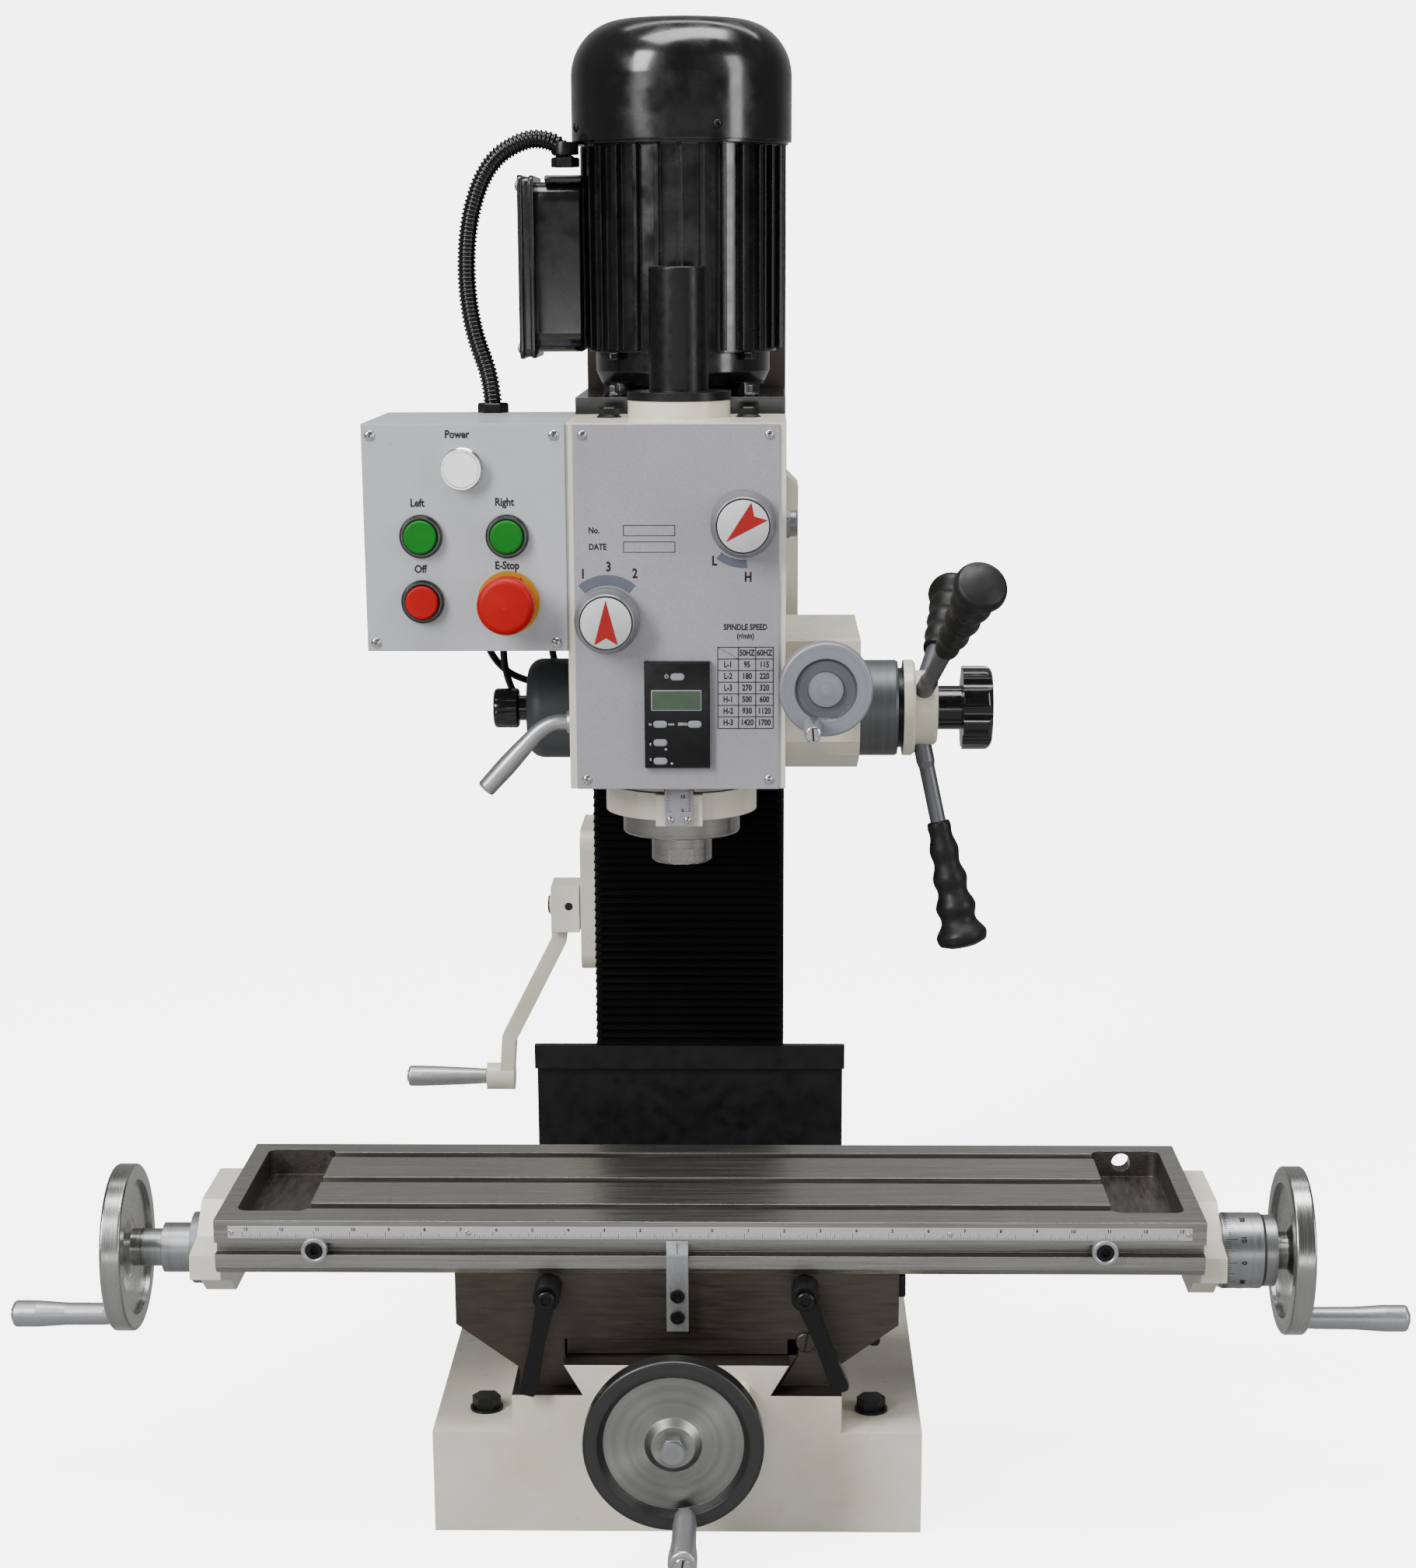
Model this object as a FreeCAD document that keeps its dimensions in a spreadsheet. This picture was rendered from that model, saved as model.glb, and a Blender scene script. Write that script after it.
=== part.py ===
import FreeCAD, Part
import math
import os
import Sketcher
from FreeCAD import Placement, Rotation, Vector

# Vertical milling machine with a dovetail column, built as a parametric document.
# Frame: origin on the underside of the base, below the spindle axis; +X to the
# operator's right, +Y from the operator towards the column, +Z up; millimetres.

doc = FreeCAD.newDocument("vertical_milling_machine")
sheet = doc.addObject("Spreadsheet::Sheet", "Sizes")
SUBPARTS = []
CUTS = []


class Dim:
    """A size: its value, and the spreadsheet expression that it comes from."""

    def __init__(self, value, text):
        self.value = float(value)
        self.text = text

    def __add__(self, other):
        other = dim(other)
        return Dim(self.value + other.value, f"({self.text} + {other.text})")

    def __sub__(self, other):
        other = dim(other)
        return Dim(self.value - other.value, f"({self.text} - {other.text})")

    def __mul__(self, factor):
        return Dim(self.value * factor, f"({self.text} * {factor!r})")

    def __truediv__(self, divisor):
        return Dim(self.value / divisor, f"({self.text} / {divisor!r})")

    def __neg__(self):
        return Dim(-self.value, f"(0 - {self.text})")

    __radd__ = __add__
    __rmul__ = __mul__

    def __rsub__(self, other):
        return dim(other) - self


def dim(size):
    return size if isinstance(size, Dim) else Dim(size, f"{float(size):.6g}")


def driving(alias, value, meaning):
    """Put one driving size into the sheet and return it as a Dim."""
    driving.row += 1
    row = driving.row
    sheet.set(f"A{row}", meaning)
    sheet.set(f"B{row}", str(value))
    sheet.setAlias(f"B{row}", alias)
    return Dim(value, f"Sizes.{alias}")


driving.row = 0

# ---------------------------------------------------------------- driving sizes
base_width = driving("base_width", 350, "width of the base foot")
base_front = driving("base_front", -208, "front face of the base")
base_back = driving("base_back", 345, "back face of the base")
ledge_top = driving("ledge_top", 77, "top of the base's side ledges")
block_half = driving("block_half", 117.5, "half width of the raised way block")
way_top = driving("way_top", 105, "flat cross ways of the base")
dovetail_half = driving("dovetail_half", 80, "half width of the base dovetail, top")
dovetail_top = driving("dovetail_top", 128, "top of the base dovetail")
dovetail_inset = driving("dovetail_inset", 13.3, "inset of a 60 degree flank, 23 high")
way_gap = driving("way_gap", 0.1, "clearance between sliding flats")
fit_gap = driving("fit_gap", 0.05, "radial clearance of a running fit")

column_front = driving("column_front", 200, "front face of the column ways")
column_half = driving("column_half", 78, "half width of the column ways")
column_neck = driving("column_neck", 66, "half width behind the column dovetail")
column_body = driving("column_body", 75, "half width of the column box")
column_step = driving("column_step", 221, "back of the column dovetail")
column_back = driving("column_back", 325, "back face of the column")
column_top = driving("column_top", 985, "top of the column")
post_y = driving("post_y", 262, "vertical screw and crank axis, depth")
crank_z = driving("crank_z", 357, "crank axis height")
crank_reach = driving("crank_reach", 152, "crank axis to handle axis")

table_length = driving("table_length", 701, "table length")
table_width = driving("table_width", 180, "table width")
table_shift = driving("table_shift", 22.9, "table centre from the spindle plane")
table_mid = driving("table_mid", -105, "table centre line, depth")
table_top = driving("table_top", 231, "table top height")
table_under = driving("table_under", 191, "table underside height")
slot_pitch = driving("slot_pitch", 60, "T-slot spacing")
slot_half = driving("slot_half", 6, "half width of a T-slot's mouth")
slot_head = driving("slot_head", 10, "half width of a T-slot's foot")
trough_depth = driving("trough_depth", 20, "depth of the coolant troughs")
x_screw_z = driving("x_screw_z", 179, "table screw axis height")
y_screw_z = driving("y_screw_z", 100, "cross screw axis height")
screw_radius = driving("screw_radius", 8, "radius of the table and cross screws")

saddle_half = driving("saddle_half", 158, "half width of the saddle")
saddle_front = driving("saddle_front", -190, "front face of the saddle")
saddle_back = driving("saddle_back", -16, "back face of the saddle")

wheel_radius = driving("wheel_radius", 62, "table handwheel radius")
y_wheel_radius = driving("y_wheel_radius", 62.5, "cross handwheel radius")
grip_reach = driving("grip_reach", 53, "handwheel axis to grip axis")
grip_length = driving("grip_length", 80, "length of a handwheel grip")

head_half = driving("head_half", 77, "half width of the head casting")
head_front = driving("head_front", -83, "front face of the head casting")
head_back = driving("head_back", 138, "back face of the head casting")
head_low = driving("head_low", 520, "underside of the head casting")
head_top = driving("head_top", 777, "top of the head casting")
tilt_z = driving("tilt_z", 650, "head swivel axis height")
swivel_back = driving("swivel_back", 150, "swivel face between head and slide")
slide_low = driving("slide_low", 565, "bottom of the head slide")
slide_high = driving("slide_high", 735, "top of the head slide")
slide_half = driving("slide_half", 88, "half width of the head slide")

quill_radius = driving("quill_radius", 37.5, "quill radius")
quill_low = driving("quill_low", 491, "bottom of the quill barrel")
nose_low = driving("nose_low", 451, "spindle nose face")
spindle_radius = driving("spindle_radius", 20, "spindle radius in the quill")
spline_radius = driving("spline_radius", 10, "radius of the spindle's driven end")
taper_mouth = driving("taper_mouth", 15.875, "collet taper radius at the nose")
collet_radius = driving("collet_radius", 12.065, "parallel collet bore radius")
taper_length = driving("taper_length", 25.7, "length of the collet taper")

feed_y = driving("feed_y", 48, "quill feed shaft axis, depth")
feed_z = driving("feed_z", 558, "quill feed shaft axis, height")
feed_radius = driving("feed_radius", 11, "quill feed shaft radius")
lever_reach = driving("lever_reach", 182, "feed lever tip from the shaft axis")
fine_x = driving("fine_x", 105, "fine feed wheel axis, across")
fine_z = driving("fine_z", 595, "fine feed wheel axis, height")

motor_y = driving("motor_y", 108, "motor axis, depth")
motor_low = driving("motor_low", 789, "motor mounting face height")
cover_radius = driving("cover_radius", 81.5, "fan cover radius")
cover_low = driving("cover_low", 970, "bottom edge of the fan cover")
motor_high = driving("motor_high", 1056, "top of the fan cover")

panel_left = driving("panel_left", -219, "left side of the control box")
panel_right = driving("panel_right", -77.1, "right side of the control box")
panel_low = driving("panel_low", 619, "bottom of the control box")
panel_back = driving("panel_back", 68, "back of the control box")
plate_thick = driving("plate_thick", 2, "thickness of the front plates")
conduit_radius = driving("conduit_radius", 7.2, "radius of the motor conduit")

BACKLASH = 0.3
RACK_ADDENDUM = 1.5
FEED_MODULE = 2.0
FEED_TEETH = 13
TRAIN_MODULE = 1.75
SMALL_GEAR = 20
LARGE_GEAR = 46
GEAR_WIDTH = 12
UPPER_GEARS = 745
LOWER_GEARS = 722
TRAIN_CENTRES = TRAIN_MODULE * (SMALL_GEAR + LARGE_GEAR) / 2
COUNTER_Y = motor_y.value / 2
COUNTER_X = math.sqrt(TRAIN_CENTRES ** 2 - COUNTER_Y ** 2)
LEVER_LEAN = 12.2
LEVER_TURN = 7.5
PLANES = {"XY": "XY_Plane", "XZ": "XZ_Plane", "YZ": "YZ_Plane"}
X_AXIS = Vector(1, 0, 0)
Y_AXIS = Vector(0, 1, 0)
Z_AXIS = Vector(0, 0, 1)


# ------------------------------------------------------------- binding helpers
def bind(obj, prop, size):
    """Tie one property of obj to a size."""
    size = dim(size)
    if "Sizes." in size.text:
        obj.setExpression(prop, size.text)


def place(obj, at, turn=None):
    """Put obj at a point, each coordinate tied to its size."""
    at = [dim(c) for c in at]
    obj.Placement = Placement(Vector(*[c.value for c in at]), turn or Rotation())
    for name, coordinate in zip("xyz", at):
        bind(obj, f"Placement.Base.{name}", coordinate)
    return obj


def keep(obj, label):
    """Name a finished sub-part and keep it for export."""
    obj.Label = label
    SUBPARTS.append(obj)
    return obj


# ------------------------------------------------------------ Part primitives
def box(name, xs, ys, zs):
    obj = doc.addObject("Part::Box", name)
    for prop, (low, high) in zip(("Length", "Width", "Height"), (xs, ys, zs)):
        size = dim(high) - low
        setattr(obj, prop, size.value)
        bind(obj, prop, size)
    return place(obj, (xs[0], ys[0], zs[0]))


def cylinder(name, at, radius, length, axis=Z_AXIS):
    obj = doc.addObject("Part::Cylinder", name)
    for prop, size in (("Radius", dim(radius)), ("Height", dim(length))):
        setattr(obj, prop, size.value)
        bind(obj, prop, size)
    return place(obj, at, Rotation(Z_AXIS, axis))


def cone(name, at, first, second, length, axis=Z_AXIS):
    obj = doc.addObject("Part::Cone", name)
    for prop, size in (("Radius1", first), ("Radius2", second), ("Height", length)):
        setattr(obj, prop, dim(size).value)
        bind(obj, prop, size)
    return place(obj, at, Rotation(Z_AXIS, axis))


def sphere(name, at, radius):
    obj = doc.addObject("Part::Sphere", name)
    obj.Radius = dim(radius).value
    bind(obj, "Radius", radius)
    return place(obj, at)


def hexagon(name, at, across_corners, length, axis=Z_AXIS):
    obj = doc.addObject("Part::Prism", name)
    obj.Polygon = 6
    obj.Circumradius = across_corners / 2
    obj.Height = length
    return place(obj, at, Rotation(Z_AXIS, axis))


def fuse(name, shapes):
    obj = doc.addObject("Part::MultiFuse", name)
    obj.Shapes = shapes
    obj.Refine = True
    return obj


def cut(name, base, tools):
    obj = doc.addObject("Part::Cut", name)
    obj.Base = base
    obj.Tool = tools[0] if len(tools) == 1 else fuse(name + "_tools", tools)
    obj.Refine = True
    CUTS.append((obj, base))
    return obj


def group(name, solids):
    obj = doc.addObject("Part::Compound", name)
    obj.Links = solids
    return obj


# --------------------------------------------------------- PartDesign helpers
class Arc:
    """A sketch edge: a round stretch of given radius to the next point."""

    def __init__(self, radius, end, turn):
        self.radius = dim(radius)
        self.end = end
        self.turn = turn


def origin_plane(body, plane):
    role = PLANES[plane]
    return next(f for f in body.Origin.OriginFeatures if f.Role == role)


def origin_axis(body, role):
    return next(f for f in body.Origin.OriginFeatures if f.Role == role)


def pin_point(sketch, index, position, point):
    """Hold one sketch point at its coordinates, tied to their sizes."""
    for kind, size, axis in (("DistanceX", point[0], -2), ("DistanceY", point[1], -1)):
        size = dim(size)
        if abs(size.value) < 1e-9:
            sketch.addConstraint(Sketcher.Constraint("PointOnObject", index, position, axis))
            continue
        rule = Sketcher.Constraint(kind, -1, 1, index, position, size.value)
        number = sketch.addConstraint(rule)
        if "Sizes." in size.text:
            sketch.setExpression(f"Constraints[{number}]", size.text)


def draw_circle(sketch, centre, radius):
    spot = Vector(dim(centre[0]).value, dim(centre[1]).value, 0)
    radius = dim(radius)
    index = sketch.addGeometry(Part.Circle(spot, Z_AXIS, radius.value), False)
    pin_point(sketch, index, 3, centre)
    number = sketch.addConstraint(Sketcher.Constraint("Radius", index, radius.value))
    if "Sizes." in radius.text:
        sketch.setExpression(f"Constraints[{number}]", radius.text)


def arc_between(start, end, radius, turn):
    """A circular arc between two points, turning left (+1) or right (-1)."""
    middle = (start + end) / 2
    chord = end - start
    rise = math.sqrt(max(radius ** 2 - (chord.Length / 2) ** 2, 0))
    side = Vector(-chord.y, chord.x, 0).normalize()
    centre = middle + side * rise * turn
    first, last = (start, end) if turn > 0 else (end, start)
    angles = [math.atan2(p.y - centre.y, p.x - centre.x) for p in (first, last)]
    circle = Part.Circle(centre, Z_AXIS, radius)
    return Part.ArcOfCircle(circle, angles[0], angles[1])


def draw_loop(sketch, points):
    """Draw one closed outline of straight and round edges."""
    corners = [p.end if isinstance(p, Arc) else p for p in points]
    spots = [Vector(dim(x).value, dim(y).value, 0) for x, y in corners]
    ends = []
    for i, point in enumerate(points):
        start, end = spots[i - 1], spots[i]
        if isinstance(point, Arc):
            edge = arc_between(start, end, point.radius.value, point.turn)
            index = sketch.addGeometry(edge, False)
            ends.append((index, 1, 2) if point.turn > 0 else (index, 2, 1))
            rule = Sketcher.Constraint("Radius", index, point.radius.value)
            number = sketch.addConstraint(rule)
            if "Sizes." in point.radius.text:
                sketch.setExpression(f"Constraints[{number}]", point.radius.text)
        else:
            index = sketch.addGeometry(Part.LineSegment(start, end), False)
            ends.append((index, 1, 2))
    for i, (index, first, last) in enumerate(ends):
        following = ends[(i + 1) % len(ends)]
        rule = Sketcher.Constraint("Coincident", index, last, following[0], following[1])
        sketch.addConstraint(rule)
        pin_point(sketch, index, last, corners[i])


def new_sketch(body, plane, loops, offset=0):
    """A sketch on one of the body's own origin planes, moved along its normal."""
    sketch = body.newObject("Sketcher::SketchObject", body.Name + "_sketch")
    sketch.AttachmentSupport = [(origin_plane(body, plane), "")]
    sketch.MapMode = "FlatFace"
    offset = dim(offset)
    sketch.AttachmentOffset = Placement(Vector(0, 0, offset.value), Rotation())
    bind(sketch, "AttachmentOffset.Base.z", offset)
    for loop in loops:
        if loop[0] == "circle":
            draw_circle(sketch, loop[1], loop[2])
        else:
            draw_loop(sketch, loop)
    return sketch


def extrude(body, kind, plane, loops, low, high):
    """Pad or pocket outlines between two coordinates along the plane's axis."""
    low, high = dim(low), dim(high)
    if kind == "PartDesign::Pad":
        start = -high if plane == "XZ" else low
    else:
        start = -low if plane == "XZ" else high
    sketch = new_sketch(body, plane, loops, start)
    feature = body.newObject(kind, body.Name + "_" + kind.split("::")[1].lower())
    feature.Profile = sketch
    feature.Length = (high - low).value
    bind(feature, "Length", high - low)
    return feature


def pad(body, plane, loops, low, high):
    return extrude(body, "PartDesign::Pad", plane, loops, low, high)


def pocket(body, plane, loops, low, high):
    feature = extrude(body, "PartDesign::Pocket", plane, loops, low, high)
    feature.Refine = True
    return feature


def revolve(body, outline):
    """Turn an outline of (radius, height) points about the body's Z axis."""
    sketch = new_sketch(body, "XZ", [outline])
    feature = body.newObject("PartDesign::Revolution", body.Name + "_turned")
    feature.Profile = sketch
    feature.ReferenceAxis = (sketch, ["V_Axis"])
    feature.Angle = 360
    return feature


def new_body(name):
    return doc.addObject("PartDesign::Body", name)


def turned(name, outline, at=(0, 0, 0), axis=Z_AXIS):
    body = new_body(name)
    revolve(body, outline)
    return place(body, at, Rotation(Z_AXIS, axis))


def around(body, feature, count):
    """Repeat a feature round the body's Z axis."""
    pattern = body.newObject("PartDesign::PolarPattern", body.Name + "_pattern")
    pattern.Originals = [feature]
    pattern.Axis = (origin_axis(body, "Z_Axis"), [""])
    pattern.Angle = 360
    pattern.Occurrences = count
    body.Tip = pattern
    return pattern


def rectangle(low_x, high_x, low_y, high_y):
    return [(low_x, low_y), (high_x, low_y), (high_x, high_y), (low_x, high_y)]


def rounded(low_x, high_x, low_y, high_y, radius):
    """A rectangle with rounded corners."""
    return [(high_x - radius, low_y), Arc(radius, (high_x, low_y + radius), 1),
            (high_x, high_y - radius), Arc(radius, (high_x - radius, high_y), 1),
            (low_x + radius, high_y), Arc(radius, (low_x, high_y - radius), 1),
            (low_x, low_y + radius), Arc(radius, (low_x + radius, low_y), 1)]


def mirrored(points):
    """A closed outline from its right-hand half, listed from one end to the other."""
    left = [(-dim(x), y) for x, y in reversed(points)]
    return list(points) + left


# ---------------------------------------------------------------------- gears
def gear_outline(module, teeth, phase, backlash=BACKLASH):
    """Points of an involute gear; one tooth is centred on the phase angle."""
    pitch_radius = module * teeth / 2
    base_radius = pitch_radius * math.cos(math.radians(20))
    tip_radius = pitch_radius + module
    root_radius = pitch_radius - 1.25 * module
    half_tooth = (math.pi * module / 2 - backlash) / (2 * pitch_radius)

    def involute(radius):
        if radius <= base_radius:
            return 0.0
        angle = math.acos(base_radius / radius)
        return math.tan(angle) - angle

    start = max(base_radius, root_radius)
    flank = [start + (tip_radius - start) * i / 4 for i in range(5)]
    radii = ([root_radius] if root_radius < base_radius else []) + flank
    points = []
    for tooth in range(teeth):
        middle = phase + tooth * 2 * math.pi / teeth
        sides = [(r, half_tooth + involute(pitch_radius) - involute(r)) for r in radii]
        for radius, half in sides:
            points.append((radius, middle - half))
        for radius, half in reversed(sides):
            points.append((radius, middle + half))
    return [Vector(r * math.cos(a), r * math.sin(a), 0) for r, a in points]


def gear(name, module, teeth, phase, width, at, axis=Z_AXIS):
    """A spur gear; the sheet holds no tooth data, so its shape is set here."""
    points = gear_outline(module, teeth, phase)
    wire = Part.makePolygon(points + points[:1])
    obj = doc.addObject("Part::Feature", name)
    obj.Shape = Part.Face(wire).extrude(Vector(0, 0, width))
    return place(obj, at, Rotation(Z_AXIS, axis))


# ----------------------------------------------------------------------- base
def make_base_casting():
    body = new_body("base_casting")
    half = base_width / 2
    neck = dovetail_half - dovetail_inset
    outline = mirrored([(half, 0), (half, ledge_top), (block_half, ledge_top),
                        (block_half, way_top), (neck, way_top),
                        (dovetail_half, dovetail_top)])
    pad(body, "XZ", [outline], base_front, base_back)
    rear_pad = rectangle(-block_half, block_half, way_top - 5, dovetail_top)
    pad(body, "XZ", [rear_pad], 166, base_back)
    pocket(body, "XY", [rectangle(-26, 26, -183, 150)], 62, dovetail_top + 1)
    pocket(body, "XY", [rectangle(-118, 118, -185, -30)], 0, 42)
    pocket(body, "XY", [rectangle(-118, 118, 20, 320)], 0, 42)
    pocket(body, "XZ", [("circle", (0, y_screw_z), 13)], base_front, -180)
    feet = [("circle", spot, 6.6) for spot in FOOT_BOLTS]
    pocket(body, "XY", feet, 0, ledge_top)
    tapped = [("circle", spot, 6.1) for spot in COLUMN_BOLTS]
    pocket(body, "XY", tapped, 98, dovetail_top)
    keep(body, "base_casting")


FOOT_BOLTS = [(-140, -165), (140, -165), (-140, 300), (140, 300)]
COLUMN_BOLTS = [(-91, 202), (91, 202), (-91, 328), (91, 328)]


def hex_bolt(name, spot, seat, shank):
    """An M12 flange bolt: shank, flange and hexagon head."""
    x, y = spot
    stem = cylinder(name + "_stem", (x, y, seat - shank), 6, shank)
    flange = cylinder(name + "_flange", (x, y, seat), 12, 2)
    head = hexagon(name + "_head", (x, y, seat + 2), 20.8, 8)
    return fuse(name, [stem, flange, head])


def make_frame_bolts():
    bolts = [hex_bolt(f"foot_bolt_{i}", spot, ledge_top, 74)
             for i, spot in enumerate(FOOT_BOLTS)]
    bolts += [hex_bolt(f"column_bolt_{i}", spot, dovetail_top + 22, 48)
              for i, spot in enumerate(COLUMN_BOLTS)]
    keep(group("frame_bolts", bolts), "frame_bolts")


def make_column():
    body = new_body("column")
    outline = mirrored([(column_half, column_front), (column_neck, column_step),
                        (column_body, column_step), (column_body, column_back)])
    pad(body, "XY", [outline], dovetail_top, column_top)
    pad(body, "XY", [rectangle(-104, 104, 186, 342)], dovetail_top, dovetail_top + 22)
    pocket(body, "XY", [rectangle(-50, 50, 228, 300)], 322, column_top - 12)
    pocket(body, "XY", [rectangle(-19, 19, column_front - 1, 232)], 335, 962)
    journal = [("circle", (0, post_y), 8 + fit_gap)]
    pocket(body, "XY", journal, 310, 324)
    pocket(body, "XY", journal, column_top - 14, column_top)
    crank_bore = [("circle", (post_y, crank_z), 9 + fit_gap)]
    pocket(body, "YZ", crank_bore, -column_body, -48)
    holes = [("circle", spot, 6.6) for spot in COLUMN_BOLTS]
    pocket(body, "XY", holes, dovetail_top, dovetail_top + 22)
    keep(body, "column")


def make_crank_bracket():
    body = new_body("crank_bracket")
    left = -(column_body + 17)
    plate = rounded(226, 318, 307, 426, 14)
    pad(body, "YZ", [plate], left, -column_body)
    shaft_bore = [("circle", (post_y, crank_z), 9 + fit_gap)]
    pocket(body, "YZ", shaft_bore, left, -column_body)
    keep(body, "crank_bracket")


def make_way_flap():
    sheet_part = box("flap_sheet", (-127, 127), (181, 184), (133, 246))
    bar = box("flap_bar", (-128.5, 128.5), (174, 181), (237, 257))
    backing = box("flap_backing", (-60, 60), (184, column_front), (222, 257))
    keep(group("way_flap", [sheet_part, bar, backing]), "way_flap")


def make_y_screw_bracket():
    body = new_body("y_screw_bracket")
    plate = mirrored([(52, 84), (52, 113), (49, 116)])
    pad(body, "XZ", [plate], base_front - 14, base_front)
    bore = [("circle", (0, y_screw_z), screw_radius + fit_gap)]
    pocket(body, "XZ", bore, base_front - 14, base_front)
    keep(body, "y_screw_bracket")


# ---------------------------------------------------------- screws and wheels
def wheel_outline(radius):
    """Section of a dished handwheel: (radius, height from the hub's back face)."""
    rim_in = radius - 12
    return [(screw_radius + fit_gap, 0), (14, 0), (14, 9), (22, 12), (rim_in, 9),
            (rim_in, 6), (radius - 2, 6), Arc(2, (radius, 8), 1), (radius, 19),
            Arc(2, (radius - 2, 21), 1), (rim_in + 2, 21), (rim_in - 2, 15),
            (20, 17), (15, 22), (screw_radius + fit_gap, 22)]


def handwheel(name, radius, at, axis, pin_at, grip):
    """A dished wheel with the fixed pin that its grip turns on."""
    disc = turned(name + "_disc", wheel_outline(radius), at, axis)
    pin = cylinder(name + "_pin", pin_at, 4, grip + 6, axis)
    return fuse(name, [disc, pin])


def grip_outline(length, thin=7.5, thick=10):
    """Section of a revolving grip with a bore for its pin."""
    return [(4.1, 0), (thin, 0), (thin + 0.8, 12), (thick - 1.5, 40), (thick, 62),
            (thick, length - 3), Arc(3, (thick - 3, length), 1), (4.1, length)]


def make_y_screw():
    screw = cylinder("y_screw_rod", (0, Y_SCREW_TIP, y_screw_z), screw_radius,
                     130 - Y_SCREW_TIP, Y_AXIS)
    nut = hexagon("y_screw_nut", (0, Y_WHEEL_HUB - 22, y_screw_z), 19, 7, -Y_AXIS)
    keep(fuse("y_leadscrew", [screw, nut]), "y_leadscrew")


Y_WHEEL_HUB = -266
Y_SCREW_TIP = -299
Y_GRIP_X = 8
Y_GRIP_DROP = 52.4
Y_GRIP_LENGTH = 74


def make_y_handwheel():
    grip_z = y_screw_z - Y_GRIP_DROP
    wheel = handwheel("y_wheel", y_wheel_radius, (0, Y_WHEEL_HUB, y_screw_z), -Y_AXIS,
                      (Y_GRIP_X, Y_WHEEL_HUB - 15, grip_z), Y_GRIP_LENGTH)
    bore = screw_radius + fit_gap
    dial = turned("y_dial", [(bore, 0), (27, 0), (28, 4), (28, 30), (26.5, 32),
                             (26.5, 43.6), (bore, 43.6)],
                  (0, base_front - 14.2, y_screw_z), -Y_AXIS)
    keep(group("y_handwheel", [wheel, dial]), "y_handwheel")
    grip = turned("y_grip", grip_outline(Y_GRIP_LENGTH),
                  (Y_GRIP_X, Y_WHEEL_HUB - 22, grip_z), -Y_AXIS)
    keep(grip, "y_grip")


LEFT_HUB = -397
RIGHT_HUB = 437


def make_x_screw():
    rod = cylinder("x_rod", (LEFT_HUB - 30, table_mid, x_screw_z), screw_radius,
                   RIGHT_HUB - LEFT_HUB + 60, X_AXIS)
    ends = [hexagon("x_nut_left", (LEFT_HUB - 22, table_mid, x_screw_z), 19, 7, -X_AXIS),
            hexagon("x_nut_right", (RIGHT_HUB + 22, table_mid, x_screw_z), 19, 7, X_AXIS)]
    keep(fuse("x_leadscrew", [rod] + ends), "x_leadscrew")


def make_x_wheels():
    for side, hub, axis in (("left", LEFT_HUB, -X_AXIS), ("right", RIGHT_HUB, X_AXIS)):
        out = axis.x
        pin_at = (hub + 15 * out, table_mid, x_screw_z - grip_reach)
        wheel = handwheel("x_wheel_" + side, wheel_radius, (hub, table_mid, x_screw_z),
                          axis, pin_at, grip_length)
        keep(wheel, "x_handwheel_" + side)
        grip = turned("x_grip_" + side, grip_outline(grip_length),
                      (hub + 22 * out, table_mid, x_screw_z - grip_reach), axis)
        keep(grip, "x_grip_" + side)


def make_x_collars():
    bore = screw_radius + fit_gap
    sleeve = turned("clutch_sleeve", [(bore, 0), (18.5, 0), (18.5, 22), (14, 22),
                                      (14, 36.5), (bore, 36.5)],
                    (-360.3, table_mid, x_screw_z), -X_AXIS)
    dial = turned("x_dial", [(bore, 0), (27, 0), (28, 4), (28, 30), (26.5, 32),
                             (26.5, 40.3), (bore, 40.3)],
                  (396.5, table_mid, x_screw_z), X_AXIS)
    keep(group("x_collars", [sleeve, dial]), "x_collars")


# --------------------------------------------------------------------- saddle
GIB = 6.2


def make_saddle():
    body = new_body("saddle")
    low = way_top + way_gap
    top = table_under - way_gap
    neck = dovetail_half - dovetail_inset + 0.3
    flank = dovetail_half + 0.3
    outline = [(saddle_half, top), (-saddle_half, top), (-saddle_half, 152), (-113, 119),
               (-113, low), (-neck, low), (-flank, dovetail_top), (-flank, 141),
               (flank + GIB, 141), (flank + GIB, dovetail_top), (neck + GIB, low),
               (113, low), (113, 119), (saddle_half, 152)]
    pad(body, "XZ", [outline], saddle_front, saddle_back)
    rear, front = table_mid + 46.2, table_mid - 40
    male = [(front, top - 1), (rear, top - 1), (rear, top), (rear + 8.1, 204.9),
            (front - 8.1, 204.9), (front, top)]
    pad(body, "YZ", [male], -saddle_half, saddle_half)
    channel = rectangle(table_mid - 16, table_mid + 16, 163, 206)
    pocket(body, "YZ", [channel], -saddle_half - 1, saddle_half + 1)
    studs = [("circle", (x, LOCK_Z), 5 + fit_gap) for x in (-LOCK_X, LOCK_X)]
    pocket(body, "XZ", studs, saddle_front, saddle_front + 26)
    keep(body, "saddle")


LOCK_X = 91
LOCK_Z = 181


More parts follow.
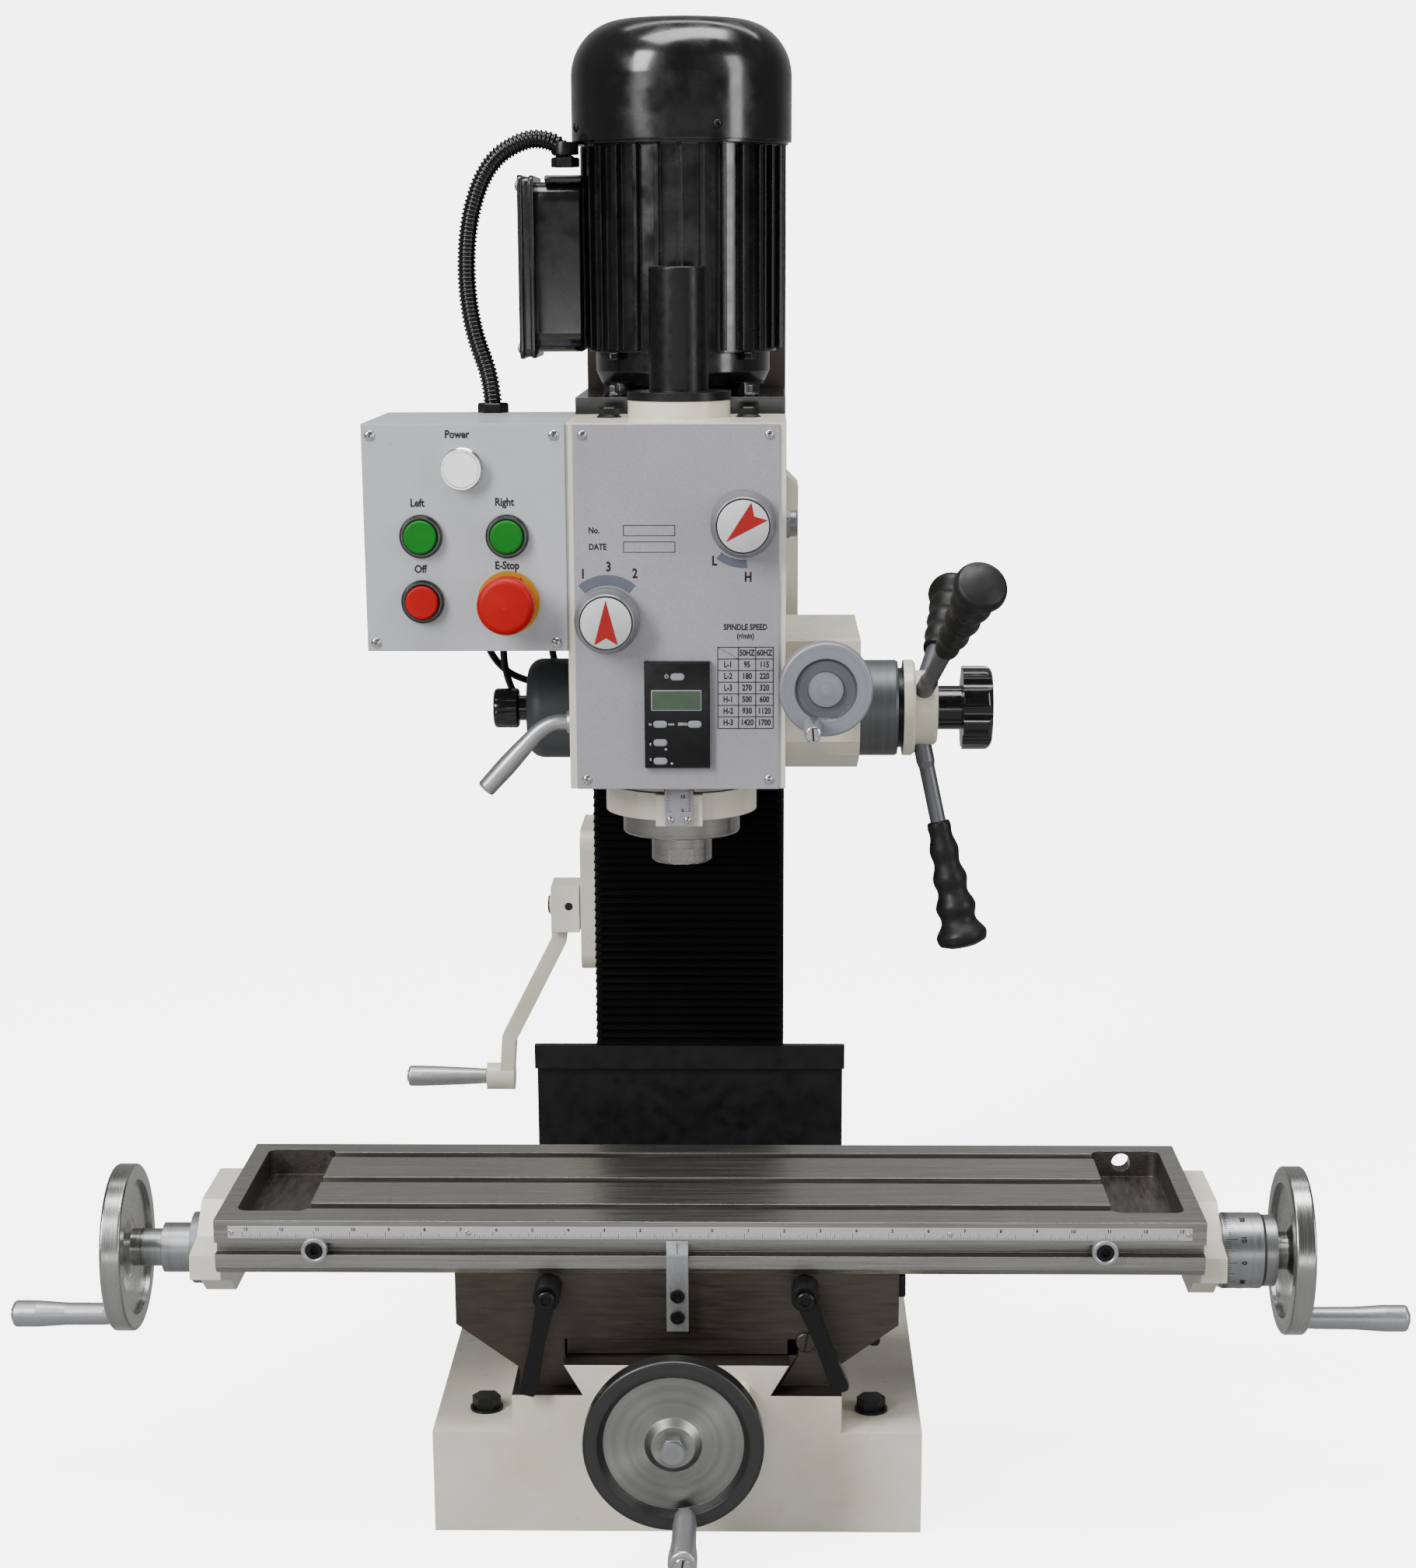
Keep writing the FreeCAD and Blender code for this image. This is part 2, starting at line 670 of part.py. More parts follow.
def make_gib_strips():
    cross = new_body("cross_gib")
    low = way_top + way_gap * 2
    high = dovetail_top - way_gap
    inner_low = dovetail_half - dovetail_inset + 0.2
    inner_high = dovetail_half + 0.1
    pad(cross, "XZ", [[(inner_low, low), (inner_low + GIB, low), (inner_high + GIB, high),
                       (inner_high, high)]], saddle_front + 2, saddle_back - 2)
    table = new_body("table_gib")
    front = table_mid - 40.3
    outer = table_mid - 46.3
    pad(table, "YZ", [[(outer, 191.2), (front, 191.2), (front - 7.9, 204.8),
                       (outer - 7.9, 204.8)]], -saddle_half + 3, saddle_half - 3)
    keep(group("gib_strips", [cross, table]), "gib_strips")


def make_leadscrew_nuts():
    x_nut = cut("x_nut", box("x_nut_block", (-22, 22), (table_mid - 15.8, table_mid + 15.8),
                             (163.1, 200)),
                [cylinder("x_nut_bore", (-23, table_mid, x_screw_z),
                          screw_radius + fit_gap, 46, X_AXIS)])
    y_nut = cut("y_nut", box("y_nut_block", (-20, 20), (-150, -112), (84, 140.9)),
                [cylinder("y_nut_bore", (0, -151, y_screw_z), screw_radius + fit_gap,
                          40, Y_AXIS)])
    keep(group("leadscrew_nuts", [x_nut, y_nut]), "leadscrew_nuts")


def make_lock_lever(side, x, lean):
    """A clamping lever that hangs from its stud, leaning by an angle."""
    body = new_body("lock_" + side)
    pad(body, "XZ", [("circle", (0, 0), 5)], -2, 25)
    pad(body, "XZ", [("circle", (0, 0), 9.5)], -26, -0.3)
    arm = mirrored([(6.5, -4), (5, -36), (6.5, -70), (4.5, -73)])
    pad(body, "XZ", [arm], -30, -20)
    place(body, (x, saddle_front, LOCK_Z), Rotation(Y_AXIS, lean))
    keep(body, "lock_lever_" + side)


# ---------------------------------------------------------------------- table
def make_table():
    body = new_body("table")
    left = table_shift - table_length / 2
    right = table_shift + table_length / 2
    front = table_mid - table_width / 2
    back = table_mid + table_width / 2
    recess = table_mid + 46.5
    outline = [(front + 4, table_under), (table_mid - 46.5, table_under),
               (table_mid - 54.7, 205.2), (table_mid + 54.7, 205.2), (recess, table_under),
               (back - 2, table_under), (back, table_under + 2), (back, table_top),
               (front, table_top), (front, 214.5), (front + 9, 214.5), (front + 9, 205.5),
               (front, 205.5), (front, 196)]
    pad(body, "YZ", [outline], left, right)
    foot, neck = table_top - 17, table_top - 9
    slots = []
    for number in (-1, 0, 1):
        middle = table_mid + 3 + slot_pitch * number
        slots.append([(middle - slot_head, foot), (middle + slot_head, foot),
                      (middle + slot_head, neck), (middle + slot_half, neck),
                      (middle + slot_half, table_top + 1),
                      (middle - slot_half, table_top + 1),
                      (middle - slot_half, neck), (middle - slot_head, neck)])
    pocket(body, "YZ", slots, table_shift - 288, table_shift + 288)
    troughs = [rounded(table_shift - 338, table_shift - 287, -173, -29, 8),
               rounded(table_shift + 287, table_shift + 338, -173, -29, 8)]
    pocket(body, "XY", troughs, table_top - trough_depth, table_top + 1)
    pocket(body, "XZ", [("circle", (table_shift + 310, 222), 7)], -31, back + 1)
    keep(body, "table")


def make_end_brackets():
    outline = [(-44, 218), (-48, 222), (-121, 222), (-146, 202), (-176, 198), (-178, 180),
               (-140, 166), (-122, 152), (-88, 152), (-60, 168), (-44, 176)]
    bore = [("circle", (table_mid, x_screw_z), screw_radius + fit_gap)]
    ends = []
    for side, inner, outer, flange in (
            ("left", table_shift - table_length / 2, dim(-350), dim(-360)),
            ("right", table_shift + table_length / 2, dim(392), dim(396.2))):
        body = new_body("bracket_" + side)
        low, high = (outer, inner) if side == "left" else (inner, outer)
        pad(body, "YZ", [outline], low, high)
        near, far = (flange, outer) if side == "left" else (outer, flange)
        pad(body, "YZ", [("circle", (table_mid, x_screw_z), 26.5)], near, far)
        first, last = (flange, inner) if side == "left" else (inner, flange)
        pocket(body, "YZ", bore, first, last)
        ends.append(body)
    keep(group("end_brackets", ends), "end_brackets")


# ------------------------------------------------------- column screw and crank
def make_crank():
    arm = new_body("crank_bar")
    outline = [(-118, 352), (-119, 328), (-163, 242), (-166, 200), (-154, 198),
               (-151, 238), (-107, 324), (-103, 352)]
    pad(arm, "XZ", [outline], post_y - 9, post_y + 9)
    hub = box("crank_hub", (-118, -94), (post_y - 20, post_y + 20),
              (crank_z - 20, crank_z + 19))
    low_hub = cylinder("crank_low_hub", (-177, post_y, crank_z - crank_reach), 11.5, 24,
                       X_AXIS)
    shaft = cylinder("crank_shaft", (-120, post_y, crank_z), 9, 106, X_AXIS)
    bevel = cone("crank_bevel", (-30, post_y, crank_z), 29.6, 17.6, 12, X_AXIS)
    pin = cylinder("crank_pin", (-244, post_y, crank_z - crank_reach), 4, 70, X_AXIS)
    keep(fuse("crank_arm", [arm, hub, low_hub, shaft, bevel, pin]), "crank_arm")
    handle = turned("crank_grip", [(4.1, 0), (6.5, 0), (7.3, 14), (8.4, 40), (8.9, 55),
                                   (8.9, 65), Arc(2, (6.9, 67), 1), (4.1, 67)],
                    (-178, post_y, crank_z - crank_reach), -X_AXIS)
    keep(handle, "crank_handle")


def make_z_leadscrew():
    low = cylinder("z_journal_low", (0, post_y, 310.5), 8, 14)
    bevel = cone("z_bevel", (0, post_y, crank_z - 30), 29.6, 17.6, 12)
    rod = cylinder("z_rod", (0, post_y, 323), 10, 640)
    high = cylinder("z_journal_high", (0, post_y, 962), 8, column_top - 963)
    keep(fuse("z_leadscrew", [low, bevel, rod, high]), "z_leadscrew")


def make_head_slide():
    body = new_body("head_slide")
    chamfer = 20
    front_view = mirrored([(slide_half - chamfer, slide_low), (slide_half, slide_low + chamfer),
                           (slide_half, slide_high - chamfer),
                           (slide_half - chamfer, slide_high)])
    pad(body, "XZ", [front_view], swivel_back + 0.2, column_step - 0.2)
    flank = column_half + 0.35
    neck = column_neck + 0.1
    ways = mirrored([(flank, column_front - 0.2), (neck, column_step + 1)])
    pocket(body, "XY", [ways], slide_low - 1, slide_high + 1)
    pad(body, "XZ", [("circle", (0, tilt_z), 15)], 126, swivel_back + 5)
    pad(body, "XY", [rectangle(-17, 17, column_front - 5, 284)], tilt_z - 30, tilt_z + 30)
    nut = [("circle", (0, post_y), 10 + fit_gap)]
    pocket(body, "XY", nut, tilt_z - 30, tilt_z + 30)
    keep(body, "head_slide")


def make_bellows():
    keep(box("bellows", (-77.5, 77.5), (172, 198), (258, slide_low)), "bellows")


# ----------------------------------------------------------------------- head
KNOBS = {"speed_knob": (-49, 641), "range_knob": (47, 708)}


def make_head_casting():
    body = new_body("head_casting")
    pad(body, "XZ", [rectangle(-head_half, head_half, head_low, head_top)], head_front,
        head_back)
    pad(body, "XY", [("circle", (0, 0), 37)], head_top, head_top + 12)
    pad(body, "XY", [("circle", (0, 0), 56)], head_low - 8, head_low)
    pad(body, "XZ", [("circle", (0, tilt_z), 75)], head_back, swivel_back)
    pocket(body, "XY", [("circle", (0, 0), quill_radius + fit_gap)], head_low - 8, 695)
    sleeve = [("circle", (0, 0), 15 + fit_gap)]
    pocket(body, "XY", sleeve, 694, 706)
    pocket(body, "XY", [rectangle(-68, 68, -60, 130)], 705, head_top - 9)
    pocket(body, "XY", [rectangle(-60, 60, 42, 130)], head_top - 10, head_top)
    pocket(body, "XY", sleeve, head_top - 10, head_top)
    pocket(body, "XY", [("circle", (0, 0), 20)], head_top, head_top + 12)
    pocket(body, "XY", [("circle", (COUNTER_X, COUNTER_Y), 9 + fit_gap)], 697, 706)
    feed_bore = [("circle", (feed_y, feed_z), feed_radius + fit_gap)]
    pocket(body, "YZ", feed_bore, -head_half, head_half)
    pocket(body, "YZ", [("circle", (feed_y, feed_z), 16.5)], -14, 14)
    shafts = [("circle", spot, 5 + fit_gap) for spot in KNOBS.values()]
    pocket(body, "XZ", shafts, head_front, -61)
    pocket(body, "XZ", [("circle", (0, tilt_z), 15 + fit_gap)], 125, swivel_back)
    pocket(body, "YZ", [("circle", (-50, 562), 5 + fit_gap)], -head_half, -46)
    pocket(body, "XY", [rectangle(-11, 11, -66, -54)], head_low - 8, 690)
    keep(body, "head_casting")


def make_front_plate():
    plate = box("front_plate_blank", (-72, 72), (head_front - plate_thick, head_front),
                (head_low, head_top - 1))
    holes = [cylinder(name + "_hole", (x, head_front - 5, z), 5.6, 10, Y_AXIS)
             for name, (x, z) in KNOBS.items()]
    keep(cut("front_plate", plate, holes), "front_plate")


def make_knob(name):
    x, z = KNOBS[name]
    outline = [(0, 0), (5, 0), (5, 24.5), (23, 24.5), (23, 32), (21.5, 36),
               (20, 43), (19, 44), (18.6, 43), (0, 43)]
    keep(turned(name + "_turned", outline, (x, head_front + 21, z), -Y_AXIS), name)


def make_dro_display():
    front = head_front - plate_thick
    keep(box("dro_display", (-23.2, 23.2), (front - 5, front), (536, 612)), "dro_display")


def make_quill_lock_lever():
    stud = cylinder("lock_stud", (-head_half, -50, 562), 5, 29, X_AXIS)
    collar = cylinder("lock_collar", (-100, -50, 562), 6, 22.7, X_AXIS)
    bend = sphere("lock_bend", (-100, -50, 562), 6)
    tip = Vector(-141, -50, 514) - Vector(-100, -50, 562)
    arm = cylinder("lock_arm", (-100, -50, 562), 6, tip.Length, tip)
    keep(fuse("quill_lock_lever", [stud, collar, bend, arm]), "quill_lock_lever")


# ---------------------------------------------------------------- control box
BUTTONS = {"left_button": (-179, 699.5), "right_button": (-118.5, 699.5),
           "off_button": (-179, 654)}
LAMP = (-149, 746)
ESTOP = (-118.5, 653.5)


def make_control_box():
    shell = box("box_outer", (panel_left, panel_right), (head_front, panel_back),
                (panel_low, head_top))
    inside = box("box_inner", (panel_left + 2, panel_right - 2),
                 (head_front - 1, panel_back - 2), (panel_low + 2, head_top - 2))
    keep(cut("control_box", shell, [inside]), "control_box")


def make_control_panel():
    front = head_front - plate_thick
    body = new_body("control_panel")
    pad(body, "XZ", [rectangle(panel_left, panel_right, panel_low, head_top)], front,
        head_front)
    bezels = [("circle", spot, 14.5) for spot in BUTTONS.values()]
    pad(body, "XZ", bezels, front - 4.5, front)
    pad(body, "XZ", [("circle", LAMP, 14)], front - 9, front)
    pad(body, "XZ", [("circle", ESTOP, 22)], front - 3, front)
    holes = [("circle", spot, 11.8) for spot in BUTTONS.values()]
    pocket(body, "XZ", holes, front - 5, head_front + 1)
    pocket(body, "XZ", [("circle", ESTOP, 9.9)], front - 5, head_front + 1)
    keep(body, "control_panel")


def make_buttons():
    for name, (x, z) in BUTTONS.items():
        outline = [(0, 0), (11.5, 0), (11.5, 30), Arc(1.5, (10, 31.5), 1), (0, 31.5)]
        keep(turned(name + "_turned", outline, (x, head_front + 20, z), -Y_AXIS), name)
    x, z = ESTOP
    outline = [(0, 0), (9.5, 0), (9.5, 38), (20, 38), (20, 48), Arc(5, (15, 53), 1),
               (0, 54)]
    keep(turned("estop_turned", outline, (x, head_front + 20, z), -Y_AXIS), "estop_button")


# ---------------------------------------------------------------------- motor
def make_motor_plate():
    body = new_body("motor_plate")
    high = motor_low
    pad(body, "XY", [rectangle(-head_half, head_half, motor_y - 77, motor_y + 77)],
        head_top, high)
    pocket(body, "XY", [("circle", (0, 0), 38)], head_top, high)
    pocket(body, "XY", [("circle", (0, motor_y), 12)], head_top, high)
    counter = [("circle", (COUNTER_X, COUNTER_Y), 9 + fit_gap)]
    pocket(body, "XY", counter, head_top, head_top + 8)
    keep(body, "motor_plate")


def make_motor_frame():
    body = new_body("motor_frame")
    shaft = 8 + fit_gap
    outline = [(shaft, motor_low), (50, motor_low), (61, 796), (65.5, 806), (65.5, 820),
               (70, 820), (70, cover_low - 2), (cover_radius - 2.6, cover_low - 2),
               (cover_radius - 2.6, 976), (shaft, 976), (shaft, 966), (55, 966), (55, 940),
               (31, 940), (31, 850), (55, 850), (55, 800), (shaft, 800)]
    revolve(body, outline)
    fin = pad(body, "XY", [rectangle(68, 75.5, -1.6, 1.6)], 822, cover_low - 3)
    around(body, fin, 28)
    place(body, (0, motor_y, 0))
    keep(body, "motor_frame")


def make_fan_cover():
    wall = 2.5
    dome = 40
    outline = [(cover_radius - wall, cover_low), (cover_radius, cover_low),
               (cover_radius, motor_high - dome),
               Arc(dome, (cover_radius - dome, motor_high), 1), (0, motor_high),
               (0, motor_high - wall), (cover_radius - dome, motor_high - wall),
               Arc(dome - wall, (cover_radius - wall, motor_high - dome), -1)]
    body = new_body("fan_cover")
    revolve(body, outline)
    vent = pocket(body, "XY", [rectangle(16, 36, -3, 3)], motor_high - 5, motor_high + 1)
    around(body, vent, 10)
    place(body, (0, motor_y, 0))
    keep(body, "fan_cover")


def counter_angle(from_x, from_y):
    """Direction from a gear centre to the countershaft."""
    return math.atan2(COUNTER_Y - from_y, COUNTER_X - from_x)


def meshing_phase(angle, teeth):
    """Phase that puts a gap, not a tooth, in the opposite direction."""
    return angle + math.pi + math.pi / teeth


def make_motor_rotor():
    outline = [(0, 741), (8, 741), (8, 852), (30, 852), (30, 938), (8, 938), (8, 988),
               (16, 988), (16, 992), (62, 992), (62, 995), (16, 995), (16, 1014), (0, 1014)]
    shaft = turned("rotor_shaft", outline, (0, motor_y, 0))
    blades = []
    for number in range(8):
        blade = box(f"fan_blade_{number}", (14, 60), (-1, 1), (993, 1012))
        place(blade, (0, motor_y, 0), Rotation(Z_AXIS, number * 45))
        blades.append(blade)
        blade.setExpression("Placement.Base.z", None)
        blade.Placement.Base.z = 993
    pinion = gear("motor_pinion", TRAIN_MODULE, SMALL_GEAR, counter_angle(0, motor_y.value),
                  GEAR_WIDTH, (0, motor_y, UPPER_GEARS))
    keep(fuse("motor_rotor", [shaft, pinion] + blades), "motor_rotor")


def make_countershaft():
    at = (COUNTER_X, COUNTER_Y)
    rod = cylinder("counter_rod", (*at, 698), 9, 86)
    upper_phase = meshing_phase(counter_angle(0, motor_y.value), LARGE_GEAR)
    large = gear("counter_large", TRAIN_MODULE, LARGE_GEAR, upper_phase, GEAR_WIDTH,
                 (*at, UPPER_GEARS))
    small = gear("counter_small", TRAIN_MODULE, SMALL_GEAR, counter_angle(0, 0) + math.pi,
                 GEAR_WIDTH, (*at, LOWER_GEARS))
    keep(fuse("countershaft", [rod, large, small]), "countershaft")


def make_drive_sleeve():
    tube = cylinder("sleeve_tube", (0, 0, 696), 15, 80)
    phase = counter_angle(0, 0) + math.pi / LARGE_GEAR
    wheel = gear("sleeve_gear", TRAIN_MODULE, LARGE_GEAR, phase, GEAR_WIDTH,
                 (0, 0, LOWER_GEARS))
    bore = cylinder("sleeve_bore", (0, 0, 695), spline_radius + fit_gap, 82)
    keep(cut("drive_sleeve", fuse("sleeve_blank", [tube, wheel]), [bore]), "drive_sleeve")


def make_terminal_box():
    block = box("terminal_block", (-120, -64), (66, 150), (815, 947))
    gland = cylinder("terminal_gland", (CONDUIT[0].x, CONDUIT[0].y, 946), 11, 6)
    recess = cylinder("terminal_recess", (0, motor_y, 800), 76.2, 160)
    box_part = cut("terminal_shell", block, [recess])
    keep(fuse("terminal_box", [box_part, gland]), "terminal_box")


# Route of the motor conduit's centre line, from its gland to the control box.
CONDUIT = [Vector(-85, 84, 952), Vector(-85, 84, 962), Vector(-94, 84, 971),
           Vector(-114, 83.5, 973), Vector(-141, 82.5, 957), Vector(-156, 80, 921),
           Vector(-160, 77, 878), Vector(-155, 71, 836), Vector(-140, 61, 799),
           Vector(-140, 61, 777)]


def tube_along(name, route, radius):
    """A round tube on straight runs joined by tangent arcs."""
    edges = []
    start = route[0]
    length = 0.0
    for before, corner, after in zip(route, route[1:], route[2:]):
        into = corner - before
        out = after - corner
        half = into.getAngle(out) / 2
        setback = 0.45 * min(into.Length, out.Length)
        print(f"{name} arc radius {setback / math.tan(half):.1f}")
        entry = corner - into.normalize() * setback
        leave = corner + out.normalize() * setback
        inward = (entry + leave) / 2 - corner
        bend_radius = setback / math.tan(half)
        middle = corner + inward.normalize() * (bend_radius / math.cos(half) - bend_radius)
        edges.append(Part.LineSegment(start, entry).toShape())
        edges.append(Part.Arc(entry, middle, leave).toShape())
        start = leave
    edges.append(Part.LineSegment(start, route[-1]).toShape())
    length = sum(edge.Length for edge in edges)
    path = Part.Wire(edges)
    first = (route[1] - route[0]).normalize()
    ring = Part.Wire(Part.Circle(route[0], first, radius).toShape())
    tube = path.makePipeShell([ring], True, False)
    expected = math.pi * radius ** 2 * length
    if abs(tube.Volume - expected) > 0.01 * expected:
        raise ValueError(f"{name}: volume {tube.Volume:.0f}, expected {expected:.0f}")
    obj = doc.addObject("Part::Feature", name)
    obj.Shape = tube
    return obj


def make_conduit():
    keep(tube_along("conduit", CONDUIT, conduit_radius.value), "conduit")


# Routes of the three cables that run from the control box into the head's side.
CABLES = [
    [Vector(-149, 59, 618.9), Vector(-149, 59, 607), Vector(-145, 66, 594),
     Vector(-135, 81, 580), Vector(-120, 97, 571), Vector(-102, 108, 567),
     Vector(-88, 112, 566), Vector(-77.1, 112, 566)],
    [Vector(-136, 55, 618.9), Vector(-136, 55, 605), Vector(-136, 61, 590),
     Vector(-134, 73, 574), Vector(-129, 88, 558), Vector(-119, 101, 545),
     Vector(-104, 110, 536), Vector(-88, 113, 533), Vector(-77.1, 113, 533)],
    [Vector(-100, 63, 618.9), Vector(-100, 63, 608), Vector(-100, 73, 597),
     Vector(-99.5, 87, 587.5), Vector(-95, 103, 579.5), Vector(-88, 110, 577),
     Vector(-77.1, 110, 577)]]
CABLE_RADIUS = 2.75


def make_control_cables():
    cables = [tube_along(f"cable_{i}", route, CABLE_RADIUS)
              for i, route in enumerate(CABLES)]
    keep(group("control_cables", cables), "control_cables")


def make_drawbar_cap():
    outline = [(18.5, motor_low), (37.5, motor_low), (37.5, motor_low + 6),
               (21.5, motor_low + 6), (21.2, 880), Arc(2, (19.2, 882), 1), (0, 882),
               (0, 878), (18.5, 878)]
    keep(turned("drawbar_cap", outline), "drawbar_cap")


# ----------------------------------------------------------------- quill feed
def make_feed_housing():
    body = new_body("gear_housing")
    inner = head_half + 0.2
    outline = [(-55, 549), (-43, 537), (6, 520), (90, 520), (100, 530), (100, 622),
               (-55, 622)]
    pad(body, "YZ", [outline], inner, 131)
    hollow = [(-46, 552), (8, 530), (88, 530), (91, 534), (91, 614), (-46, 614)]
    pocket(body, "YZ", [hollow], 84, 125)
    shaft = [("circle", (feed_y, feed_z), feed_radius + fit_gap)]
    pocket(body, "YZ", shaft, inner, 131)
    pocket(body, "XZ", [("circle", (fine_x, fine_z), 5 + fit_gap)], -55, -45)
    collar = turned("feed_collar", [(feed_radius + fit_gap, 0), (36, 0), (36, 29), (35, 31),
                                    (feed_radius + fit_gap, 31)],
                    (131, feed_y, feed_z), X_AXIS)
    keep(group("feed_housing", [body, collar]), "feed_housing")


def make_feed_hub():
    outline = [(0, -110), (11, -110), (11, 97), (22, 97), (22, 113), (11, 113), (11, 162.4),
               (30, 162.4), (30, 166), (36, 166), (36, 173), (34, 175), (28, 175), (28, 190),
               (26, 192), (8, 192), (8, 214), (0, 214)]
    shaft = turned("feed_shaft", outline, (0, feed_y, feed_z), X_AXIS)
    # The gear's own X axis points to -Z once its axis lies along +X.
    toward_quill = -math.pi / 2
    pinion = gear("feed_pinion", FEED_MODULE, FEED_TEETH, toward_quill, 24,
                  (-12, feed_y, feed_z), X_AXIS)
    keep(fuse("feed_hub", [shaft, pinion]), "feed_hub")


def lever_directions():
    """Unit vectors of the three feed levers, leaning away from the head."""
    lean = math.radians(LEVER_LEAN)
    for number in (-1, 1, 3):
        turn = math.radians(LEVER_TURN + 60 * number)
        yield Vector(math.sin(lean), math.cos(lean) * math.sin(turn),
                     math.cos(lean) * math.cos(turn))


def make_feed_levers():
    rods = []
    grips = []
    root = (175.4, feed_y, feed_z)
    for number, way in enumerate(lever_directions()):
        rod = [(0, 24), (7, 24), (7, 42), (6, 46), (6, 172), (0, 172)]
        rods.append(turned(f"feed_rod_{number}", rod, root, way))
        grip = [(6.05, 88), (8.5, 88), (12, 112), (10.5, 122), (14, 134), (12.5, 144),
                (17, 158), (15.5, 167), (20.5, 179), (20.5, 182), Arc(5, (15.5, 187), 1),
                (0, 189), (0, 172.2), (6.05, 172.2)]
        grips.append(turned(f"feed_grip_{number}", grip, root, way))
    keep(group("feed_levers", rods), "feed_levers")
    keep(group("feed_grips", grips), "feed_grips")


def make_star_knob():
    body = new_body("star_knob")
    outline = [(8.1, 0), (16.5, 0), (16.5, 18), (31.5, 18.5), (31.5, 35),
               Arc(6, (25.5, 41), 1), (0, 41), (0, 23), (8.1, 23)]
    revolve(body, outline)
    scallop = pocket(body, "XY", [("circle", (35.5, 0), 8)], 18.4, 42)
    around(body, scallop, 8)
    place(body, (192.3, feed_y, feed_z), Rotation(Z_AXIS, X_AXIS))
    keep(body, "star_knob")


def make_fine_feed_wheel():
    outline = [(0, -146), (10, -146), (10, -94), (5, -94), (5, -34.5), (14, -34.5),
               (14, 6), (30, 6), (33, 8), (33, 20), Arc(2, (31, 22), 1), (22, 22), (20, 19),
               (13, 19), (12, 22), (0, 23)]
    wheel = turned("fine_wheel", outline, (fine_x, -90, fine_z), -Y_AXIS)
    knob = cone("fine_knob", (fine_x - 9.5, -111, fine_z - 26), 7, 5.8, 34, -Y_AXIS)
    keep(fuse("fine_feed_wheel", [wheel, knob]), "fine_feed_wheel")


def make_spring_housing():
    body = new_body("spring_housing")
    outline = [(33, 0), (37.5, 0), (37.5, 38), (35.5, 40), (7, 40), (7, 48), (15, 48),
               (15, 63), Arc(3, (12, 66), 1), (0, 66), (0, 36), (33, 36)]
    revolve(body, outline)
    scallop = pocket(body, "XY", [("circle", (16.8, 0), 3.4)], 47.9, 67)
    around(body, scallop, 7)
    place(body, (-(head_half + 0.1), feed_y, feed_z), Rotation(Z_AXIS, -X_AXIS))
    keep(body, "spring_housing")


def make_return_spring():
    """A flat spiral strip of half circles round the feed shaft."""
    strip = 1.2
    growth = 2.6
    half_turns = 14
    edges = []
    for side in (0, 1):
        spots = []
        for i in range(half_turns + 1):
            reach = 12.5 + growth / 2 * i + strip * side
            direction = 1 if i % 2 == 0 else -1
            spots.append(Vector(reach * direction, 0, 0))
        run = []
        for i in range(half_turns):
            centre = (spots[i] + spots[i + 1]) / 2
            radius = (spots[i + 1] - spots[i]).Length / 2
            top = centre + Vector(0, radius if i % 2 == 0 else -radius, 0)
            run.append(Part.Arc(spots[i], top, spots[i + 1]).toShape())
        edges.append((run, spots[0], spots[-1]))
    (inner, inner_start, inner_end), (outer, outer_start, outer_end) = edges
    outline = inner + [Part.LineSegment(inner_end, outer_end).toShape()] + outer[::-1]
    outline.append(Part.LineSegment(outer_start, inner_start).toShape())
    obj = doc.addObject("Part::Feature", "return_spring")
    obj.Shape = Part.Face(Part.Wire(outline)).extrude(Vector(0, 0, 16))
    place(obj, (-88, feed_y, feed_z), Rotation(Z_AXIS, -X_AXIS))
    keep(obj, "return_spring")


# ---------------------------------------------------------- quill and spindle
def rack_gaps():
    """Tooth gaps of the quill's rack, as (depth, height) outlines."""
    pitch = math.pi * FEED_MODULE
    line = feed_y - FEED_MODULE * FEED_TEETH / 2
    tip = line + RACK_ADDENDUM
    root = line - 1.25 * FEED_MODULE
    half = (pitch / 2 + BACKLASH) / 2
    slope = math.tan(math.radians(20))
    for number in range(-3, 16):
        middle = feed_z + pitch * number
        wide = half + slope * (RACK_ADDENDUM + 2)
        narrow = half - slope * 1.25 * FEED_MODULE
        yield [(root, middle - narrow), (root, middle + narrow),
               (tip + 2, middle + wide), (tip + 2, middle - wide)]


def make_quill():
    body = new_body("quill")
    bore = spindle_radius + fit_gap
    outline = [(bore, nose_low + 23), (43, nose_low + 23), (43.5, nose_low + 24),
               (43.5, quill_low), (quill_radius, quill_low), (quill_radius, 690),
               (bore, 690)]
    revolve(body, outline)
    flat = feed_y - FEED_MODULE * FEED_TEETH / 2 + RACK_ADDENDUM
    pocket(body, "YZ", [rectangle(flat, quill_radius + 1, 530, 664)], -12.6, 12.6)
    for gap in rack_gaps():
        pocket(body, "YZ", [gap], -12.6, 12.6)
    keep(body, "quill")


def make_quill_collar():
    ring = cylinder("collar_ring", (0, 0, quill_low), 56, 20)
    block = box("collar_block", (-17, 17), (-61, -45), (quill_low - 3, quill_low + 20))
    bar = box("depth_bar", (-9.5, 9.5), (-65, -55), (quill_low + 4, quill_low + 190))
    bore = cylinder("collar_bore", (0, 0, quill_low - 5), quill_radius + fit_gap, 40)
    foot = cylinder("collar_foot", (0, 0, quill_low - 5), 44, 5)
    blank = fuse("collar_blank", [ring, block, bar])
    keep(cut("quill_collar", blank, [bore, foot]), "quill_collar")


